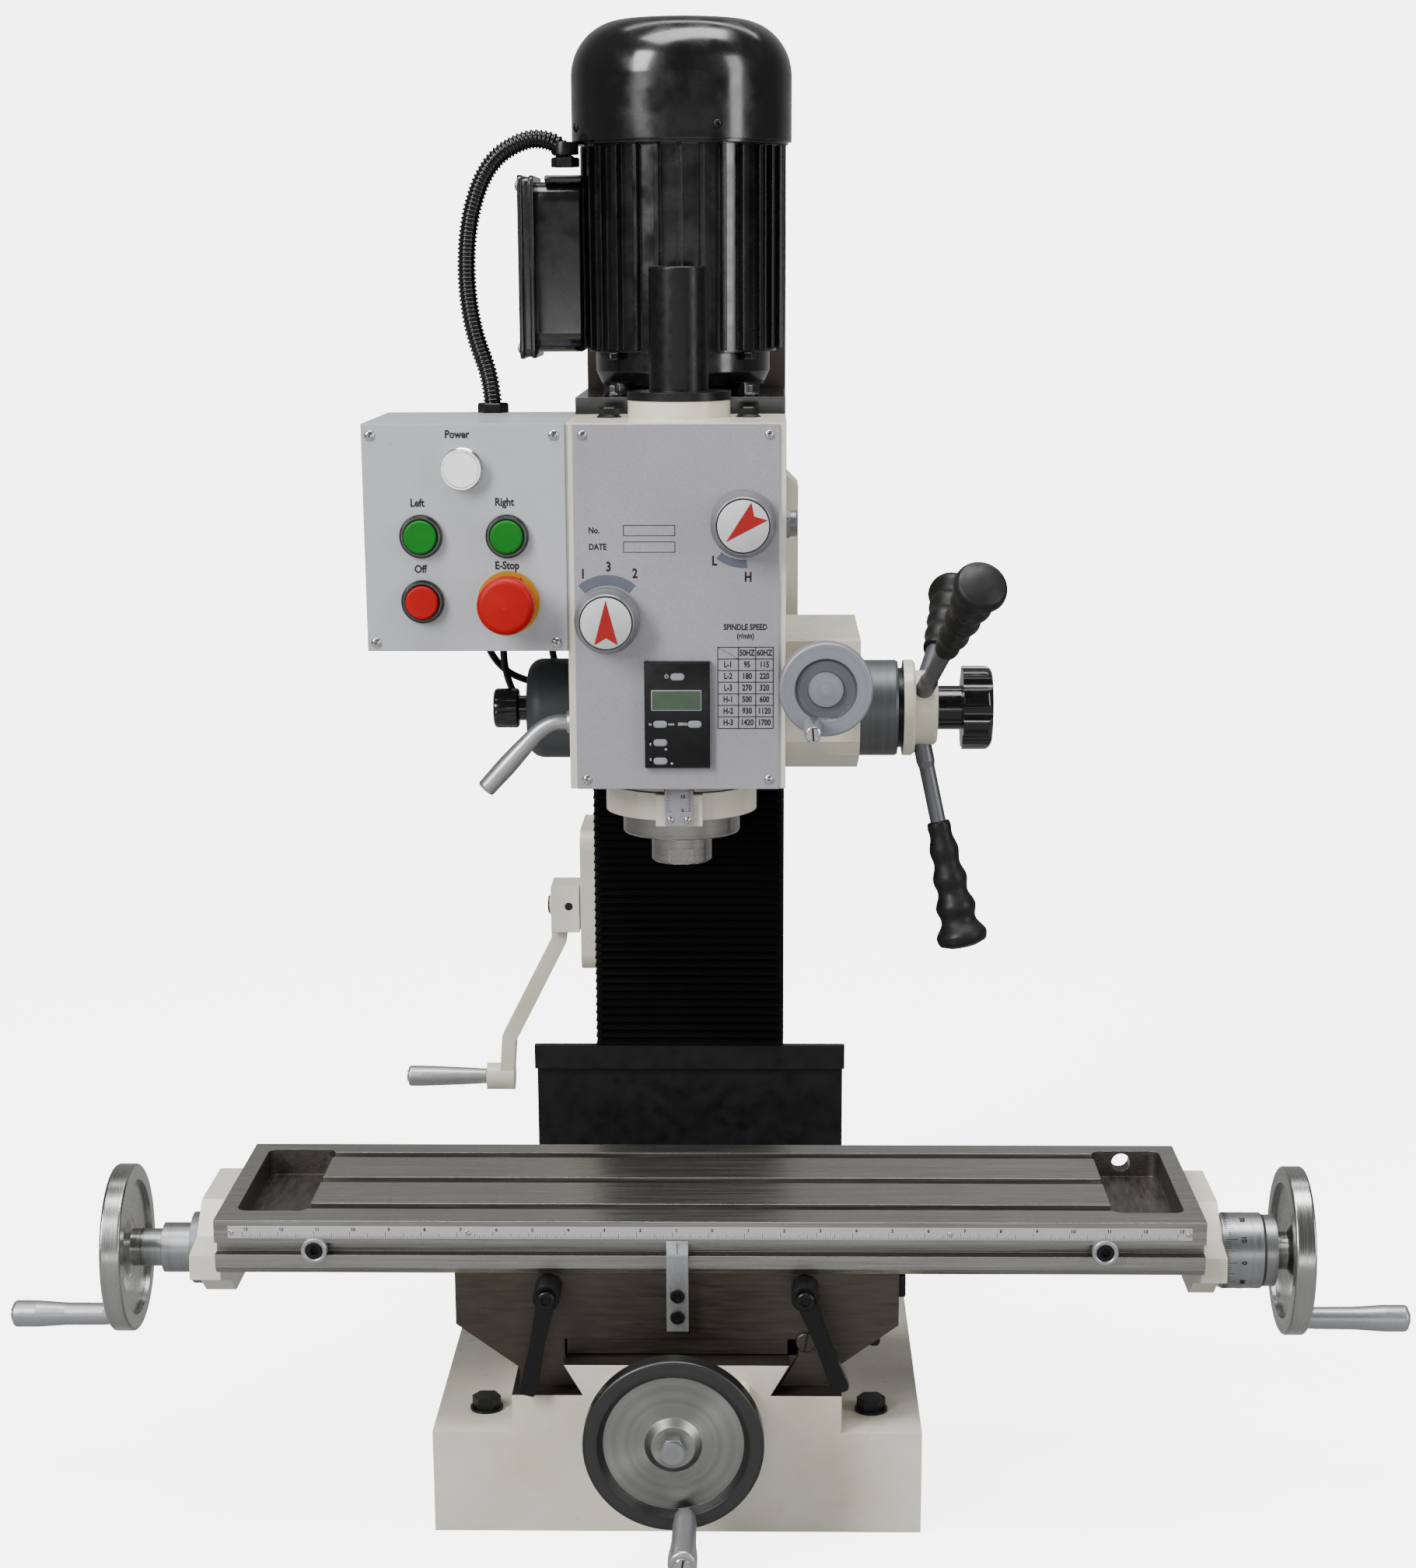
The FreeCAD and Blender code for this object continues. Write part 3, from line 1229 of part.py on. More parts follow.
def make_spindle():
    body = new_body("spindle_bar")
    taper_end = nose_low + taper_length
    shoulder = nose_low + 22.7
    outline = [(taper_mouth, nose_low), (21, nose_low), (22.5, nose_low + 1.5),
               (22.5, shoulder), (spindle_radius, shoulder), (spindle_radius, 690),
               (spline_radius, 690), (spline_radius, 840), (5.1, 840), (5.1, 560),
               (collet_radius, 560), (collet_radius, taper_end)]
    revolve(body, outline)
    pocket(body, "XZ", [rectangle(-11, 11, nose_low - 1, nose_low + 12)], -23, -20.4)
    pocket(body, "XZ", [rectangle(-11, 11, nose_low - 1, nose_low + 12)], 20.4, 23)
    rod = cylinder("drawbar_rod", (0, 0, 561), 5, 280)
    head = hexagon("drawbar_head", (0, 0, 840), 17, 12)
    keep(group("spindle", [body, fuse("drawbar", [rod, head])]), "spindle")


# ---------------------------------------------------------------------- build
def build():
    make_base_casting()
    make_frame_bolts()
    make_column()
    make_crank_bracket()
    make_way_flap()
    make_y_screw_bracket()
    make_y_screw()
    make_y_handwheel()
    make_saddle()
    make_gib_strips()
    make_leadscrew_nuts()
    make_lock_lever("left", -LOCK_X, 11.5)
    make_lock_lever("right", LOCK_X, -21)
    make_table()
    make_end_brackets()
    make_x_screw()
    make_x_wheels()
    make_x_collars()
    make_crank()
    make_z_leadscrew()
    make_head_slide()
    make_bellows()
    make_head_casting()
    make_front_plate()
    make_control_box()
    make_control_panel()
    make_buttons()
    make_dro_display()
    make_motor_plate()
    make_motor_frame()
    make_fan_cover()
    make_terminal_box()
    make_conduit()
    make_control_cables()
    make_drawbar_cap()
    make_feed_housing()
    make_feed_hub()
    make_feed_levers()
    make_star_knob()
    make_fine_feed_wheel()
    make_spring_housing()
    make_return_spring()
    for name in KNOBS:
        make_knob(name)
    make_quill_lock_lever()
    make_quill()
    make_quill_collar()
    make_spindle()
    make_motor_rotor()
    make_countershaft()
    make_drive_sleeve()


def check():
    """Stop on any failed object, null shape or cut that removed nothing."""
    for obj in doc.Objects:
        if "Invalid" in obj.State or "Error" in obj.State:
            raise ValueError(f"{obj.Name} ({obj.Label}) failed: {obj.State}")
    for obj in doc.Objects:
        if obj.TypeId == "PartDesign::Pocket" and obj.BaseFeature is not None:
            CUTS.append((obj, obj.BaseFeature))
    for obj, before in CUTS:
        if not obj.Shape.Volume < before.Shape.Volume - 1e-3:
            raise ValueError(f"{obj.Name} removes nothing from {before.Name}")
    for obj in SUBPARTS:
        if obj.Shape.isNull() or not obj.Shape.isValid():
            raise ValueError(f"{obj.Label} has no valid shape")


def export():
    os.makedirs("parts", exist_ok=True)
    for obj in SUBPARTS:
        obj.Shape.exportStep(f"parts/{obj.Label}.step")
    print(f"{len(SUBPARTS)} sub-parts written")


build()
doc.recompute()
check()
export()
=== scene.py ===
from math import copysign, cos, hypot, pi, radians, sin

import bmesh
import bpy
from mathutils import Matrix, Vector


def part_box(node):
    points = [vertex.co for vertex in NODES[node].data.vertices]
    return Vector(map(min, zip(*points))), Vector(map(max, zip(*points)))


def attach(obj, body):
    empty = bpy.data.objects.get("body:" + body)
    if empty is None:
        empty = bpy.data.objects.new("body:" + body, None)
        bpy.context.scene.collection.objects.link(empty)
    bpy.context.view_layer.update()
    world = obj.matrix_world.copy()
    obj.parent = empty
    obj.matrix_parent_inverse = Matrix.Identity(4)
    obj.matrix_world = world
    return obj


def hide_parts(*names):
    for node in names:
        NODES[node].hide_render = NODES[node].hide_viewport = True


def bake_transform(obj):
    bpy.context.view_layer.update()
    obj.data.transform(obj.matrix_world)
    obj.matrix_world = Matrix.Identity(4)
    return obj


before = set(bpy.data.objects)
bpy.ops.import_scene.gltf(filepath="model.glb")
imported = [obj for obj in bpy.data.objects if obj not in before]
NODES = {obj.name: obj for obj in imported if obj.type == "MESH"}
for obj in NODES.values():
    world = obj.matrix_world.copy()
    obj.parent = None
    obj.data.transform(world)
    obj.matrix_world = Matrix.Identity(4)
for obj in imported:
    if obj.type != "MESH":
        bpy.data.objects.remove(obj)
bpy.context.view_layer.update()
MM = 0.001
X, Y, Z = Vector((1, 0, 0)), Vector((0, 1, 0)), Vector((0, 0, 1))

# Places shared with the CAD model, in millimetres.
PLATE_FRONT = -85.0
BOX_SPOTS = {"left": (-179, 699.5), "right": (-118.5, 699.5), "off": (-179, 654)}
LAMP = (-149, 746)
ESTOP = (-118.5, 653.5)
SPEED_KNOB = (-49, 641)
RANGE_KNOB = (47, 708)
FEED = Vector((0, 48, 558))
FINE = Vector((105, 0, 595))
X_SCREW = Vector((0, -105, 179))
Y_SCREW = Vector((0, 0, 100))
MOTOR = Vector((0, 108, 0))


# ------------------------------------------------------------------ materials
class Look:
    """A node material under construction."""

    def __init__(self, name, **shader):
        self.material = bpy.data.materials.new(name)
        self.material.use_nodes = True
        self.tree = self.material.node_tree
        self.bsdf = self.tree.nodes["Principled BSDF"]
        for socket, value in shader.items():
            self.bsdf.inputs[socket.replace("_", " ")].default_value = value
        self.coords = self.node("ShaderNodeTexCoord").outputs["Object"]

    def node(self, kind, inputs=None, **settings):
        made = self.tree.nodes.new(kind)
        for key, value in settings.items():
            setattr(made, key, value)
        for key, value in (inputs or {}).items():
            if isinstance(value, bpy.types.NodeSocket):
                self.tree.links.new(value, made.inputs[key])
            else:
                made.inputs[key].default_value = value
        return made

    def stretched(self, scale, origin=(0, 0, 0)):
        """Object coordinates scaled differently along each axis."""
        inputs = {"Vector": self.coords, "Scale": scale,
                  "Location": [-o * s for o, s in zip(origin, scale)]}
        return self.node("ShaderNodeMapping", inputs).outputs["Vector"]

    def noise(self, scale, detail=4, vector=None, roughness=0.55):
        inputs = {"Vector": vector or self.coords, "Scale": scale, "Detail": detail,
                  "Roughness": roughness}
        return self.node("ShaderNodeTexNoise", inputs).outputs["Fac"]

    def ramp(self, factor, stops):
        made = self.node("ShaderNodeValToRGB", {"Fac": factor})
        elements = made.color_ramp.elements
        while len(elements) < len(stops):
            elements.new(0.5)
        for element, (position, colour) in zip(elements, stops):
            element.position = position
            element.color = (*colour, 1) if len(colour) == 3 else colour
        return made.outputs["Color"]

    def level(self, factor, low, high, at=(0.3, 0.7)):
        """A number that runs from low to high with a factor."""
        inputs = {"Value": factor, "From Min": at[0], "From Max": at[1],
                  "To Min": low, "To Max": high}
        return self.node("ShaderNodeMapRange", inputs).outputs["Result"]

    def math(self, operation, first, second=0.5):
        made = self.node("ShaderNodeMath", {0: first, 1: second}, operation=operation)
        return made.outputs["Value"]

    def mix(self, factor, first, second, blend="MIX"):
        made = self.node("ShaderNodeMix", data_type="RGBA", blend_type=blend)
        for index, value in ((0, factor), (6, first), (7, second)):
            if isinstance(value, bpy.types.NodeSocket):
                self.tree.links.new(value, made.inputs[index])
            else:
                made.inputs[index].default_value = value
        return made.outputs[2]

    def wire(self, socket, value):
        self.tree.links.new(value, self.bsdf.inputs[socket])

    def relief(self, *layers, edge=0.0):
        """Stack bumps (height, strength, distance in mm) over rounded edges."""
        normal = None
        if edge:
            bevel = self.node("ShaderNodeBevel", {"Radius": edge * MM}, samples=6)
            normal = bevel.outputs["Normal"]
        for height, strength, distance in layers:
            inputs = {"Height": height, "Strength": strength, "Distance": distance * MM}
            if normal is not None:
                inputs["Normal"] = normal
            normal = self.node("ShaderNodeBump", inputs).outputs["Normal"]
        self.wire("Normal", normal)

    def edge_mask(self, radius, low=0.02, high=0.12):
        """About 1 where the surface turns sharply within a radius, in mm."""
        bevel = self.node("ShaderNodeBevel", {"Radius": radius * MM}, samples=6)
        plain = self.node("ShaderNodeNewGeometry").outputs["Normal"]
        made = self.node("ShaderNodeVectorMath", {0: bevel.outputs["Normal"], 1: plain},
                         operation="DOT_PRODUCT")
        turn = self.math("SUBTRACT", 1.0, made.outputs["Value"])
        return self.level(turn, 0.0, 1.0, at=(low, high))


def shade(colour, factor):
    return tuple(c * factor for c in colour)


def enamel(name, colour, rough=0.32, texture=0.25, edge=1.2, dirt=0.12, tint=(1, 0.95, 0.86)):
    """Machine enamel: orange peel, faint clouding and grime in random patches."""
    look = Look(name, Coat_Weight=0.35, Coat_Roughness=0.12, Specular_IOR_Level=0.5)
    cloud = look.noise(14, 5)
    worn = tuple(c * (1 - dirt) * t for c, t in zip(colour, tint))
    base = look.ramp(cloud, [(0.28, worn), (0.62, colour), (0.9, shade(colour, 1.04))])
    specks = look.level(look.noise(260, 3), 0.0, 1.0, at=(0.69, 0.75))
    base = look.mix(specks, base, (*shade(colour, 0.72), 1))
    look.wire("Base Color", base)
    look.wire("Roughness", look.level(look.noise(55, 4), rough - 0.07, rough + 0.12))
    look.relief((look.noise(900, 3), texture, 0.05), (look.noise(70, 3), texture, 0.35),
                edge=edge)
    return look.material


def ground(name, colour, grain=(10, 900, 700), rough=0.34, edge=0.5, stain=0.25):
    """Surface-ground iron: fine straight grain, faint stains and bright edges."""
    look = Look(name, Metallic=0.92)
    lines = look.noise(1.0, 5, look.stretched(grain), 0.7)
    cloud = look.noise(9, 6)
    base = look.ramp(lines, [(0.25, shade(colour, 0.72)), (0.75, shade(colour, 1.2))])
    brown = (colour[0] * 0.62, colour[1] * 0.52, colour[2] * 0.42, 1)
    base = look.mix(look.level(cloud, 0.0, stain, at=(0.5, 0.8)), base, brown)
    bright = (*shade(colour, 1.7), 1)
    base = look.mix(look.math("MULTIPLY", look.edge_mask(0.6), 0.6), base, bright)
    look.wire("Base Color", base)
    look.wire("Roughness", look.level(lines, rough - 0.1, rough + 0.16))
    look.relief((lines, 0.35, 0.03), (cloud, 0.1, 0.4), edge=edge)
    return look.material


def turned_metal(name, colour, at, axis, rough=0.25, groove=1.0, metal=1.0, edge=0.4,
                 fan=""):
    """Lathe-turned metal with fine tool rings about an axis; fan names the axis
    round which the highlights spread like a fan."""
    look = Look(name, Metallic=metal)
    if fan:
        look.bsdf.inputs["Anisotropic"].default_value = 0.8
        tangent = look.node("ShaderNodeTangent", direction_type="RADIAL", axis=fan)
        look.wire("Tangent", tangent.outputs["Tangent"])
    away = look.node("ShaderNodeVectorMath", {0: look.coords, 1: Vector(at) * MM},
                     operation="SUBTRACT").outputs["Vector"]
    along = look.node("ShaderNodeVectorMath", {0: away, 1: axis},
                      operation="DOT_PRODUCT").outputs["Value"]
    across = look.node("ShaderNodeVectorMath", {0: away, 1: axis},
                       operation="CROSS_PRODUCT").outputs["Vector"]
    radius = look.node("ShaderNodeVectorMath", {0: across},
                       operation="LENGTH").outputs["Value"]
    rings = look.node("ShaderNodeCombineXYZ", {"X": along, "Y": radius}).outputs["Vector"]
    fine = look.noise(2600, 3, rings, 0.6)
    broad = look.noise(240, 4, rings)
    cloud = look.noise(24, 4)
    base = look.ramp(broad, [(0.3, shade(colour, 0.85)), (0.7, shade(colour, 1.1))])
    base = look.mix(look.level(cloud, 0.0, 0.35), base, (*shade(colour, 0.7), 1))
    look.wire("Base Color", base)
    look.wire("Roughness", look.level(fine, rough - 0.06, rough + 0.14))
    look.relief((fine, 0.28 * groove, 0.02), (broad, 0.12 * groove, 0.03), edge=edge)
    return look.material


def satin_metal(name, colour, rough=0.42, metal=0.85, edge=0.5):
    """Fine-blasted or cast metal with a soft sparkle."""
    look = Look(name, Metallic=metal)
    grit = look.noise(1300, 3)
    base = look.ramp(grit, [(0.3, shade(colour, 0.82)), (0.7, shade(colour, 1.12))])
    base = look.mix(look.level(look.noise(18, 4), 0.0, 0.3), base, (*shade(colour, 0.8), 1))
    look.wire("Base Color", base)
    look.wire("Roughness", look.level(grit, rough - 0.08, rough + 0.12))
    look.relief((grit, 0.22, 0.03), edge=edge)
    return look.material


def moulded(name, colour, rough=0.35, grain=0.15, coat=0.0, edge=0.6, shine=0.4):
    """Moulded plastic with a fine grained surface."""
    look = Look(name, Coat_Weight=coat, Coat_Roughness=0.08, Specular_IOR_Level=shine)
    base = look.ramp(look.noise(34, 4), [(0.3, shade(colour, 0.82)), (0.7, colour)])
    look.wire("Base Color", base)
    look.wire("Roughness", look.level(look.noise(160, 4), rough - 0.06, rough + 0.1))
    look.relief((look.noise(1500, 2), grain, 0.03), edge=edge)
    return look.material


def rubber(name, colour, rough=0.62, dust=0.35, weave=0.0, shine=0.35):
    """Rubber or rubberised cloth with a dusty bloom."""
    look = Look(name, Specular_IOR_Level=shine)
    cloud = look.noise(22, 6)
    dusty = tuple(c + 0.01 for c in colour)
    base = look.mix(look.level(cloud, 0.0, dust, at=(0.48, 0.78)), (*colour, 1), (*dusty, 1))
    look.wire("Base Color", base)
    look.wire("Roughness", look.level(look.noise(90, 4), rough - 0.1, rough + 0.14))
    layers = [(look.noise(850, 3), 0.3, 0.06)]
    if weave:
        for kind in ((900, 4, 4), (4, 4, 900)):
            layers.append((look.noise(1.6, 2, look.stretched(kind)), weave, 0.08))
    look.relief(*layers, edge=0.4)
    return look.material


WHITE = enamel("white_enamel", (0.68, 0.665, 0.57))
BOX_GREY = enamel("box_grey", (0.40, 0.41, 0.435), rough=0.42, texture=0.55, edge=1.6,
                  dirt=0.06, tint=(1, 1, 1))
BLACK = enamel("black_enamel", (0.0035, 0.0035, 0.0042), rough=0.2, texture=0.2, edge=1.5,
               dirt=0.3, tint=(1, 1, 1))
PLATE = satin_metal("face_plate", (0.34, 0.33, 0.36), rough=0.5, metal=0.25)
RULE = satin_metal("rule_plate", (0.50, 0.50, 0.50), rough=0.4, metal=0.3)
# Ground iron made far darker than bare iron: painted reflection of dark surroundings and
# painted shade; its brown stains are its own.
SHADE_DARK_IRON = ground("ground_iron", (0.085, 0.074, 0.062), rough=0.4, grain=(30, 500, 400),
              stain=0.5)
TABLE_IRON = ground("table_iron", (0.33, 0.322, 0.305), rough=0.28, stain=0.2)
TROUGH_IRON = ground("milled_iron", (0.12, 0.112, 0.10), grain=(240, 40, 600), rough=0.42)
GREY_STEEL = satin_metal("grey_casting", (0.22, 0.225, 0.24))
HOUSING_GREY = satin_metal("housing_grey", (0.075, 0.08, 0.088), rough=0.5, metal=0.4)
LEVER_STEEL = satin_metal("lever_steel", (0.16, 0.165, 0.18), rough=0.42)
SATIN_GRIP = satin_metal("satin_grip", (0.42, 0.425, 0.44), rough=0.36)
CHROME = satin_metal("bright_screw", (0.62, 0.62, 0.62), rough=0.15, metal=1.0)
# Black oxide steel; the same black is also painted shade where the feed hub shows in its gap.
OXIDE_AND_SHADE_BLACK = satin_metal("black_oxide", (0.012, 0.012, 0.013), rough=0.32, metal=0.6)
BRONZE = satin_metal("bronze", (0.30, 0.18, 0.07), rough=0.35, metal=1.0)
BLACK_PLASTIC = moulded("black_plastic", (0.003, 0.003, 0.0035), rough=0.34, shine=0.3)
GLOSS_BLACK = moulded("gloss_black", (0.003, 0.003, 0.0035), rough=0.16, grain=0.05,
                      coat=0.4, edge=1.2)
KNOB_SILVER = satin_metal("knob_silver", (0.30, 0.305, 0.315), rough=0.34, metal=0.8,
                          edge=1.6)
WHITE_FACE = moulded("white_face", (0.56, 0.565, 0.575), rough=0.42)
KEY_GREY = moulded("key_grey", (0.26, 0.27, 0.30), rough=0.4)
RED_INK = moulded("red_ink", (0.33, 0.0, 0.0), rough=0.6)
# Black for print, and also painted shade for screw slots and a screw hole.
INK_AND_SHADE_BLACK = moulded("black_ink", (0.004, 0.004, 0.0045), rough=0.55)
WHITE_INK = moulded("white_ink", (0.6, 0.6, 0.6), rough=0.5)
BLUE_INK = moulded("blue_grey_ink", (0.10, 0.115, 0.15), rough=0.5)
GREEN = moulded("green_cap", (0.0, 0.16, 0.008), rough=0.42, shine=0.2)
RED = moulded("red_cap", (0.40, 0.0, 0.0), rough=0.45, shine=0.2)
YELLOW = moulded("yellow_ring", (0.50, 0.23, 0.0), rough=0.4)
LCD = moulded("lcd", (0.045, 0.075, 0.045), rough=0.22, coat=0.3)
RUBBER = rubber("black_rubber", (0.0035, 0.0035, 0.004), rough=0.48, dust=0.2)
CLOTH = rubber("bellows_cloth", (0.0012, 0.0012, 0.0015), rough=0.85, dust=0.1,
               weave=0.35, shine=0.12)
NOSE_STEEL = turned_metal("nose_steel", (0.33, 0.32, 0.30), (0, 0, 0), Z, rough=0.2)
X_BRIGHT = turned_metal("bright_x", (0.42, 0.42, 0.41), X_SCREW, X, rough=0.2)
Y_BRIGHT = turned_metal("bright_y", (0.30, 0.30, 0.29), Y_SCREW, Y, rough=0.3, groove=1.4,
                        fan="Y")
Y_RIM = turned_metal("rim_y", (0.075, 0.075, 0.075), Y_SCREW, Y, rough=0.34, groove=1.2)
X_DIAL = turned_metal("dial_x", (0.36, 0.365, 0.375), X_SCREW, X, rough=0.33)
Y_DIAL = turned_metal("dial_y", (0.36, 0.365, 0.375), Y_SCREW, Y, rough=0.33)
FEED_GREY = turned_metal("feed_grey", (0.11, 0.113, 0.12), FEED, X, rough=0.42, metal=0.6)
FINE_GREY = turned_metal("fine_grey", (0.25, 0.255, 0.285), FINE, Y, rough=0.42, metal=0.5)
# A darker copy of the fine feed grey, used as painted shade for the wheel's recess.
FINE_RECESS_SHADE = turned_metal("fine_deep", (0.12, 0.123, 0.14), FINE, Y, rough=0.45, metal=0.5)
LENS = turned_metal("lamp_lens", (0.2, 0.203, 0.21), (LAMP[0], 0, LAMP[1]), Y, rough=0.5,
                    groove=1.6, fan="Y")


# --------------------------------------------------------------- CAD surfaces
def paint(node, coat, *rules):
    """Give a CAD node its ground coat, then another material wherever a rule's
    test of (face centre in mm, face normal) holds."""
    mesh = NODES[node].data
    mesh.materials.clear()
    for material in (coat, *(rule[0] for rule in rules)):
        mesh.materials.append(material)
    for face in mesh.polygons:
        centre = face.center / MM
        face.material_index = 0
        for index, (_, test) in enumerate(rules, 1):
            if test(centre, face.normal):
                face.material_index = index


def near(centre, spot, reach):
    """True where a point lies within reach of a spot (x, z) on a front panel."""
    return hypot(centre.x - spot[0], centre.z - spot[1]) < reach


def paint_nodes():
    """Ground coats of the plain nodes, then the nodes with several materials."""
    for coat, nodes in (
            (WHITE, "crank_bracket y_screw_bracket crank_arm head_slide"),
            (BLACK, "motor_plate motor_frame fan_cover"), (BOX_GREY, "control_box"),
            # Saddle and gibs get the darkened iron: painted reflection and painted shade.
            (SHADE_DARK_IRON, "gib_strips saddle"), (BRONZE, "leadscrew_nuts"), (OXIDE_AND_SHADE_BLACK, "frame_bolts"),
            (NOSE_STEEL, "z_leadscrew return_spring quill spindle motor_rotor"),
            (NOSE_STEEL, "countershaft drive_sleeve"), (PLATE, "front_plate"),
            (X_DIAL, "x_leadscrew x_collars"), (Y_DIAL, "y_leadscrew"),
            (X_BRIGHT, "x_handwheel_left x_handwheel_right"), (LEVER_STEEL, "feed_levers"),
            (SATIN_GRIP, "y_grip x_grip_left x_grip_right crank_handle"),
            (BLACK_PLASTIC, "dro_display drawbar_cap lock_lever_left lock_lever_right"),
            (KNOB_SILVER, "speed_knob range_knob"), (RUBBER, "way_flap"),
            (GREEN, "left_button right_button"), (RED, "off_button estop_button")):
        for node in nodes.split():
            paint(node, coat)
    # The base's ways get the darkened iron: painted shade.
    paint("base_casting", WHITE,
          (SHADE_DARK_IRON, lambda c, n: c.z > 104.5 and abs(n.y) < 0.5 and c.y < 165))
    paint("column", WHITE, (SHADE_DARK_IRON, lambda c, n: c.y < 221.5 and c.z > 151))
    paint("y_handwheel", Y_RIM,
          (Y_BRIGHT, lambda c, n: c.y < -240 and (c - Y_SCREW).xz.length < 49))
    paint("quill_collar", WHITE, (PLATE, lambda c, n: c.y < -61.5 and c.z > 495))
    # The wheel's recess gets the darker grey: painted shade.
    paint("fine_feed_wheel", FINE_GREY,
          (FINE_RECESS_SHADE, lambda c, n: c.y < -94 and n.y < 0.9
           and 12.4 < (c - FINE).xz.length < 22.2 and c.z > 575))
    trough_top, table_middle = 230.5, 22.9
    paint("table", TABLE_IRON,
          (TROUGH_IRON, lambda c, n: c.z < trough_top and n.z > 0.5 or
           (286 < abs(c.x - table_middle) < 339 and -174 < c.y < -28
            and c.z < trough_top + 0.4)))
    paint("end_brackets", WHITE, (GREY_STEEL, lambda c, n: c.x < -350.2))
    paint("head_casting", WHITE, (NOSE_STEEL, lambda c, n: c.z < 519.5))
    panel_front = PLATE_FRONT - 0.3
    paint("control_panel", BOX_GREY,
          (BLACK_PLASTIC, lambda c, n: c.y < panel_front
           and any(near(c, spot, 15) for spot in BOX_SPOTS.values())),
          (CHROME, lambda c, n: c.y < panel_front and near(c, LAMP, 15)),
          (YELLOW, lambda c, n: c.y < panel_front and near(c, ESTOP, 23)))
    paint("star_knob", GLOSS_BLACK,
          (GREY_STEEL, lambda c, n: c.x > 229 and (c - FEED).yz.length < 13))
    paint("feed_housing", WHITE, (FEED_GREY, lambda c, n: c.x > 131.05))
    # The feed hub is black from 140 to 166 mm: painted shade for the gap beside its white
    # flange.
    paint("feed_hub", NOSE_STEEL, (OXIDE_AND_SHADE_BLACK, lambda c, n: 140 < c.x < 166),
          (WHITE, lambda c, n: 166 <= c.x <= 192.1 and (c - FEED).yz.length > 9))


# ---------------------------------------------------------------- mesh pieces
def link(obj):
    bpy.context.scene.collection.objects.link(obj)
    return obj


def towards(degrees, first=X, second=Y):
    """The direction at an angle from one direction towards another."""
    angle = radians(degrees)
    return first * cos(angle) + second * sin(angle)


def arc(centre, radius, start, end, steps):
    """Points along part of a circle, between two angles in degrees."""
    angles = [radians(start + (end - start) * i / steps) for i in range(steps + 1)]
    return [(centre[0] + radius * cos(a), centre[1] + radius * sin(a)) for a in angles]


def rounded(half_across, half_up, corner, steps):
    """The outline of a rectangle with rounded corners, about its middle."""
    outline = []
    for turn, (sx, sy) in enumerate(((1, 1), (-1, 1), (-1, -1), (1, -1))):
        centre = (sx * (half_across - corner), sy * (half_up - corner))
        outline += arc(centre, corner, 90 * turn, 90 * turn + 90, steps)
    return outline


def piece(name, bm, material, body="head", smooth=35):
    """Make a bmesh in millimetres into a piece that rides on a body."""
    bmesh.ops.remove_doubles(bm, verts=bm.verts, dist=0.0005)
    bmesh.ops.recalc_face_normals(bm, faces=bm.faces)
    bmesh.ops.scale(bm, vec=(MM, MM, MM), verts=bm.verts)
    mesh = bpy.data.meshes.new(name)
    bm.to_mesh(mesh)
    bm.free()
    mesh.materials.append(material)
    mesh.shade_smooth()
    mesh.set_sharp_from_angle(angle=radians(smooth))
    obj = link(bpy.data.objects.new(name, mesh))
    if body:
        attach(obj, body)
    return obj


def add_lathe(bm, profile, at=(0, 0, 0), axis=Z, segments=48, closed=False):
    """Turn a profile of (radius, height) points about an axis."""
    turned = Z.rotation_difference(Vector(axis)).to_matrix().to_4x4()
    matrix = Matrix.Translation(Vector(at)) @ turned
    rings = []
    for radius, height in profile:
        count = 1 if radius < 1e-6 else segments
        ring = []
        for i in range(count):
            angle = 2 * pi * i / segments
            spot = Vector((radius * cos(angle), radius * sin(angle), height))
            ring.append(bm.verts.new(matrix @ spot))
        rings.append(ring)
    pairs = list(zip(rings, rings[1:]))
    if closed:
        pairs.append((rings[-1], rings[0]))
    for low, high in pairs:
        for i in range(segments):
            j = (i + 1) % segments
            corners = [low[i % len(low)], low[j % len(low)], high[j % len(high)],
                       high[i % len(high)]]
            unique = list(dict.fromkeys(corners))
            if len(unique) > 2:
                bm.faces.new(unique)


def add_block(bm, low, high, bevel=0.0, segments=2):
    """A box between two corners with rounded edges."""
    low, high = Vector(low), Vector(high)
    matrix = Matrix.Translation((low + high) / 2) @ Matrix.Diagonal((*(high - low), 1))
    made = bmesh.ops.create_cube(bm, size=1.0, matrix=matrix)
    if bevel:
        edges = list({edge for vert in made["verts"] for edge in vert.link_edges})
        bmesh.ops.bevel(bm, geom=edges, offset=bevel, segments=segments, profile=0.5,
                        affect="EDGES", clamp_overlap=True)


def add_prism(bm, outline, at, across, up, depth, bevel=0.0):
    """An outline drawn along two directions, pushed through by a depth."""
    across, up = Vector(across), Vector(up)
    normal = across.cross(up).normalized()
    start = [bm.verts.new(Vector(at) + across * a + up * b) for a, b in outline]
    face = bm.faces.new(start)
    made = bmesh.ops.extrude_face_region(bm, geom=[face])
    moved = [v for v in made["geom"] if isinstance(v, bmesh.types.BMVert)]
    bmesh.ops.translate(bm, verts=moved, vec=normal * depth)
    if bevel:
        verts = set(start) | set(moved)
        edges = [e for e in bm.edges if e.verts[0] in verts and e.verts[1] in verts]
        bmesh.ops.bevel(bm, geom=edges, offset=bevel, segments=2, profile=0.5,
                        affect="EDGES", clamp_overlap=True)


def mesh_of(curve):
    """The mesh that Blender makes of a text or a curve, which is then removed."""
    shape = link(bpy.data.objects.new(curve.name, curve))
    graph = bpy.context.evaluated_depsgraph_get()
    mesh = bpy.data.meshes.new_from_object(shape.evaluated_get(graph))
    bpy.data.objects.remove(shape)
    bpy.data.curves.remove(curve)
    return mesh


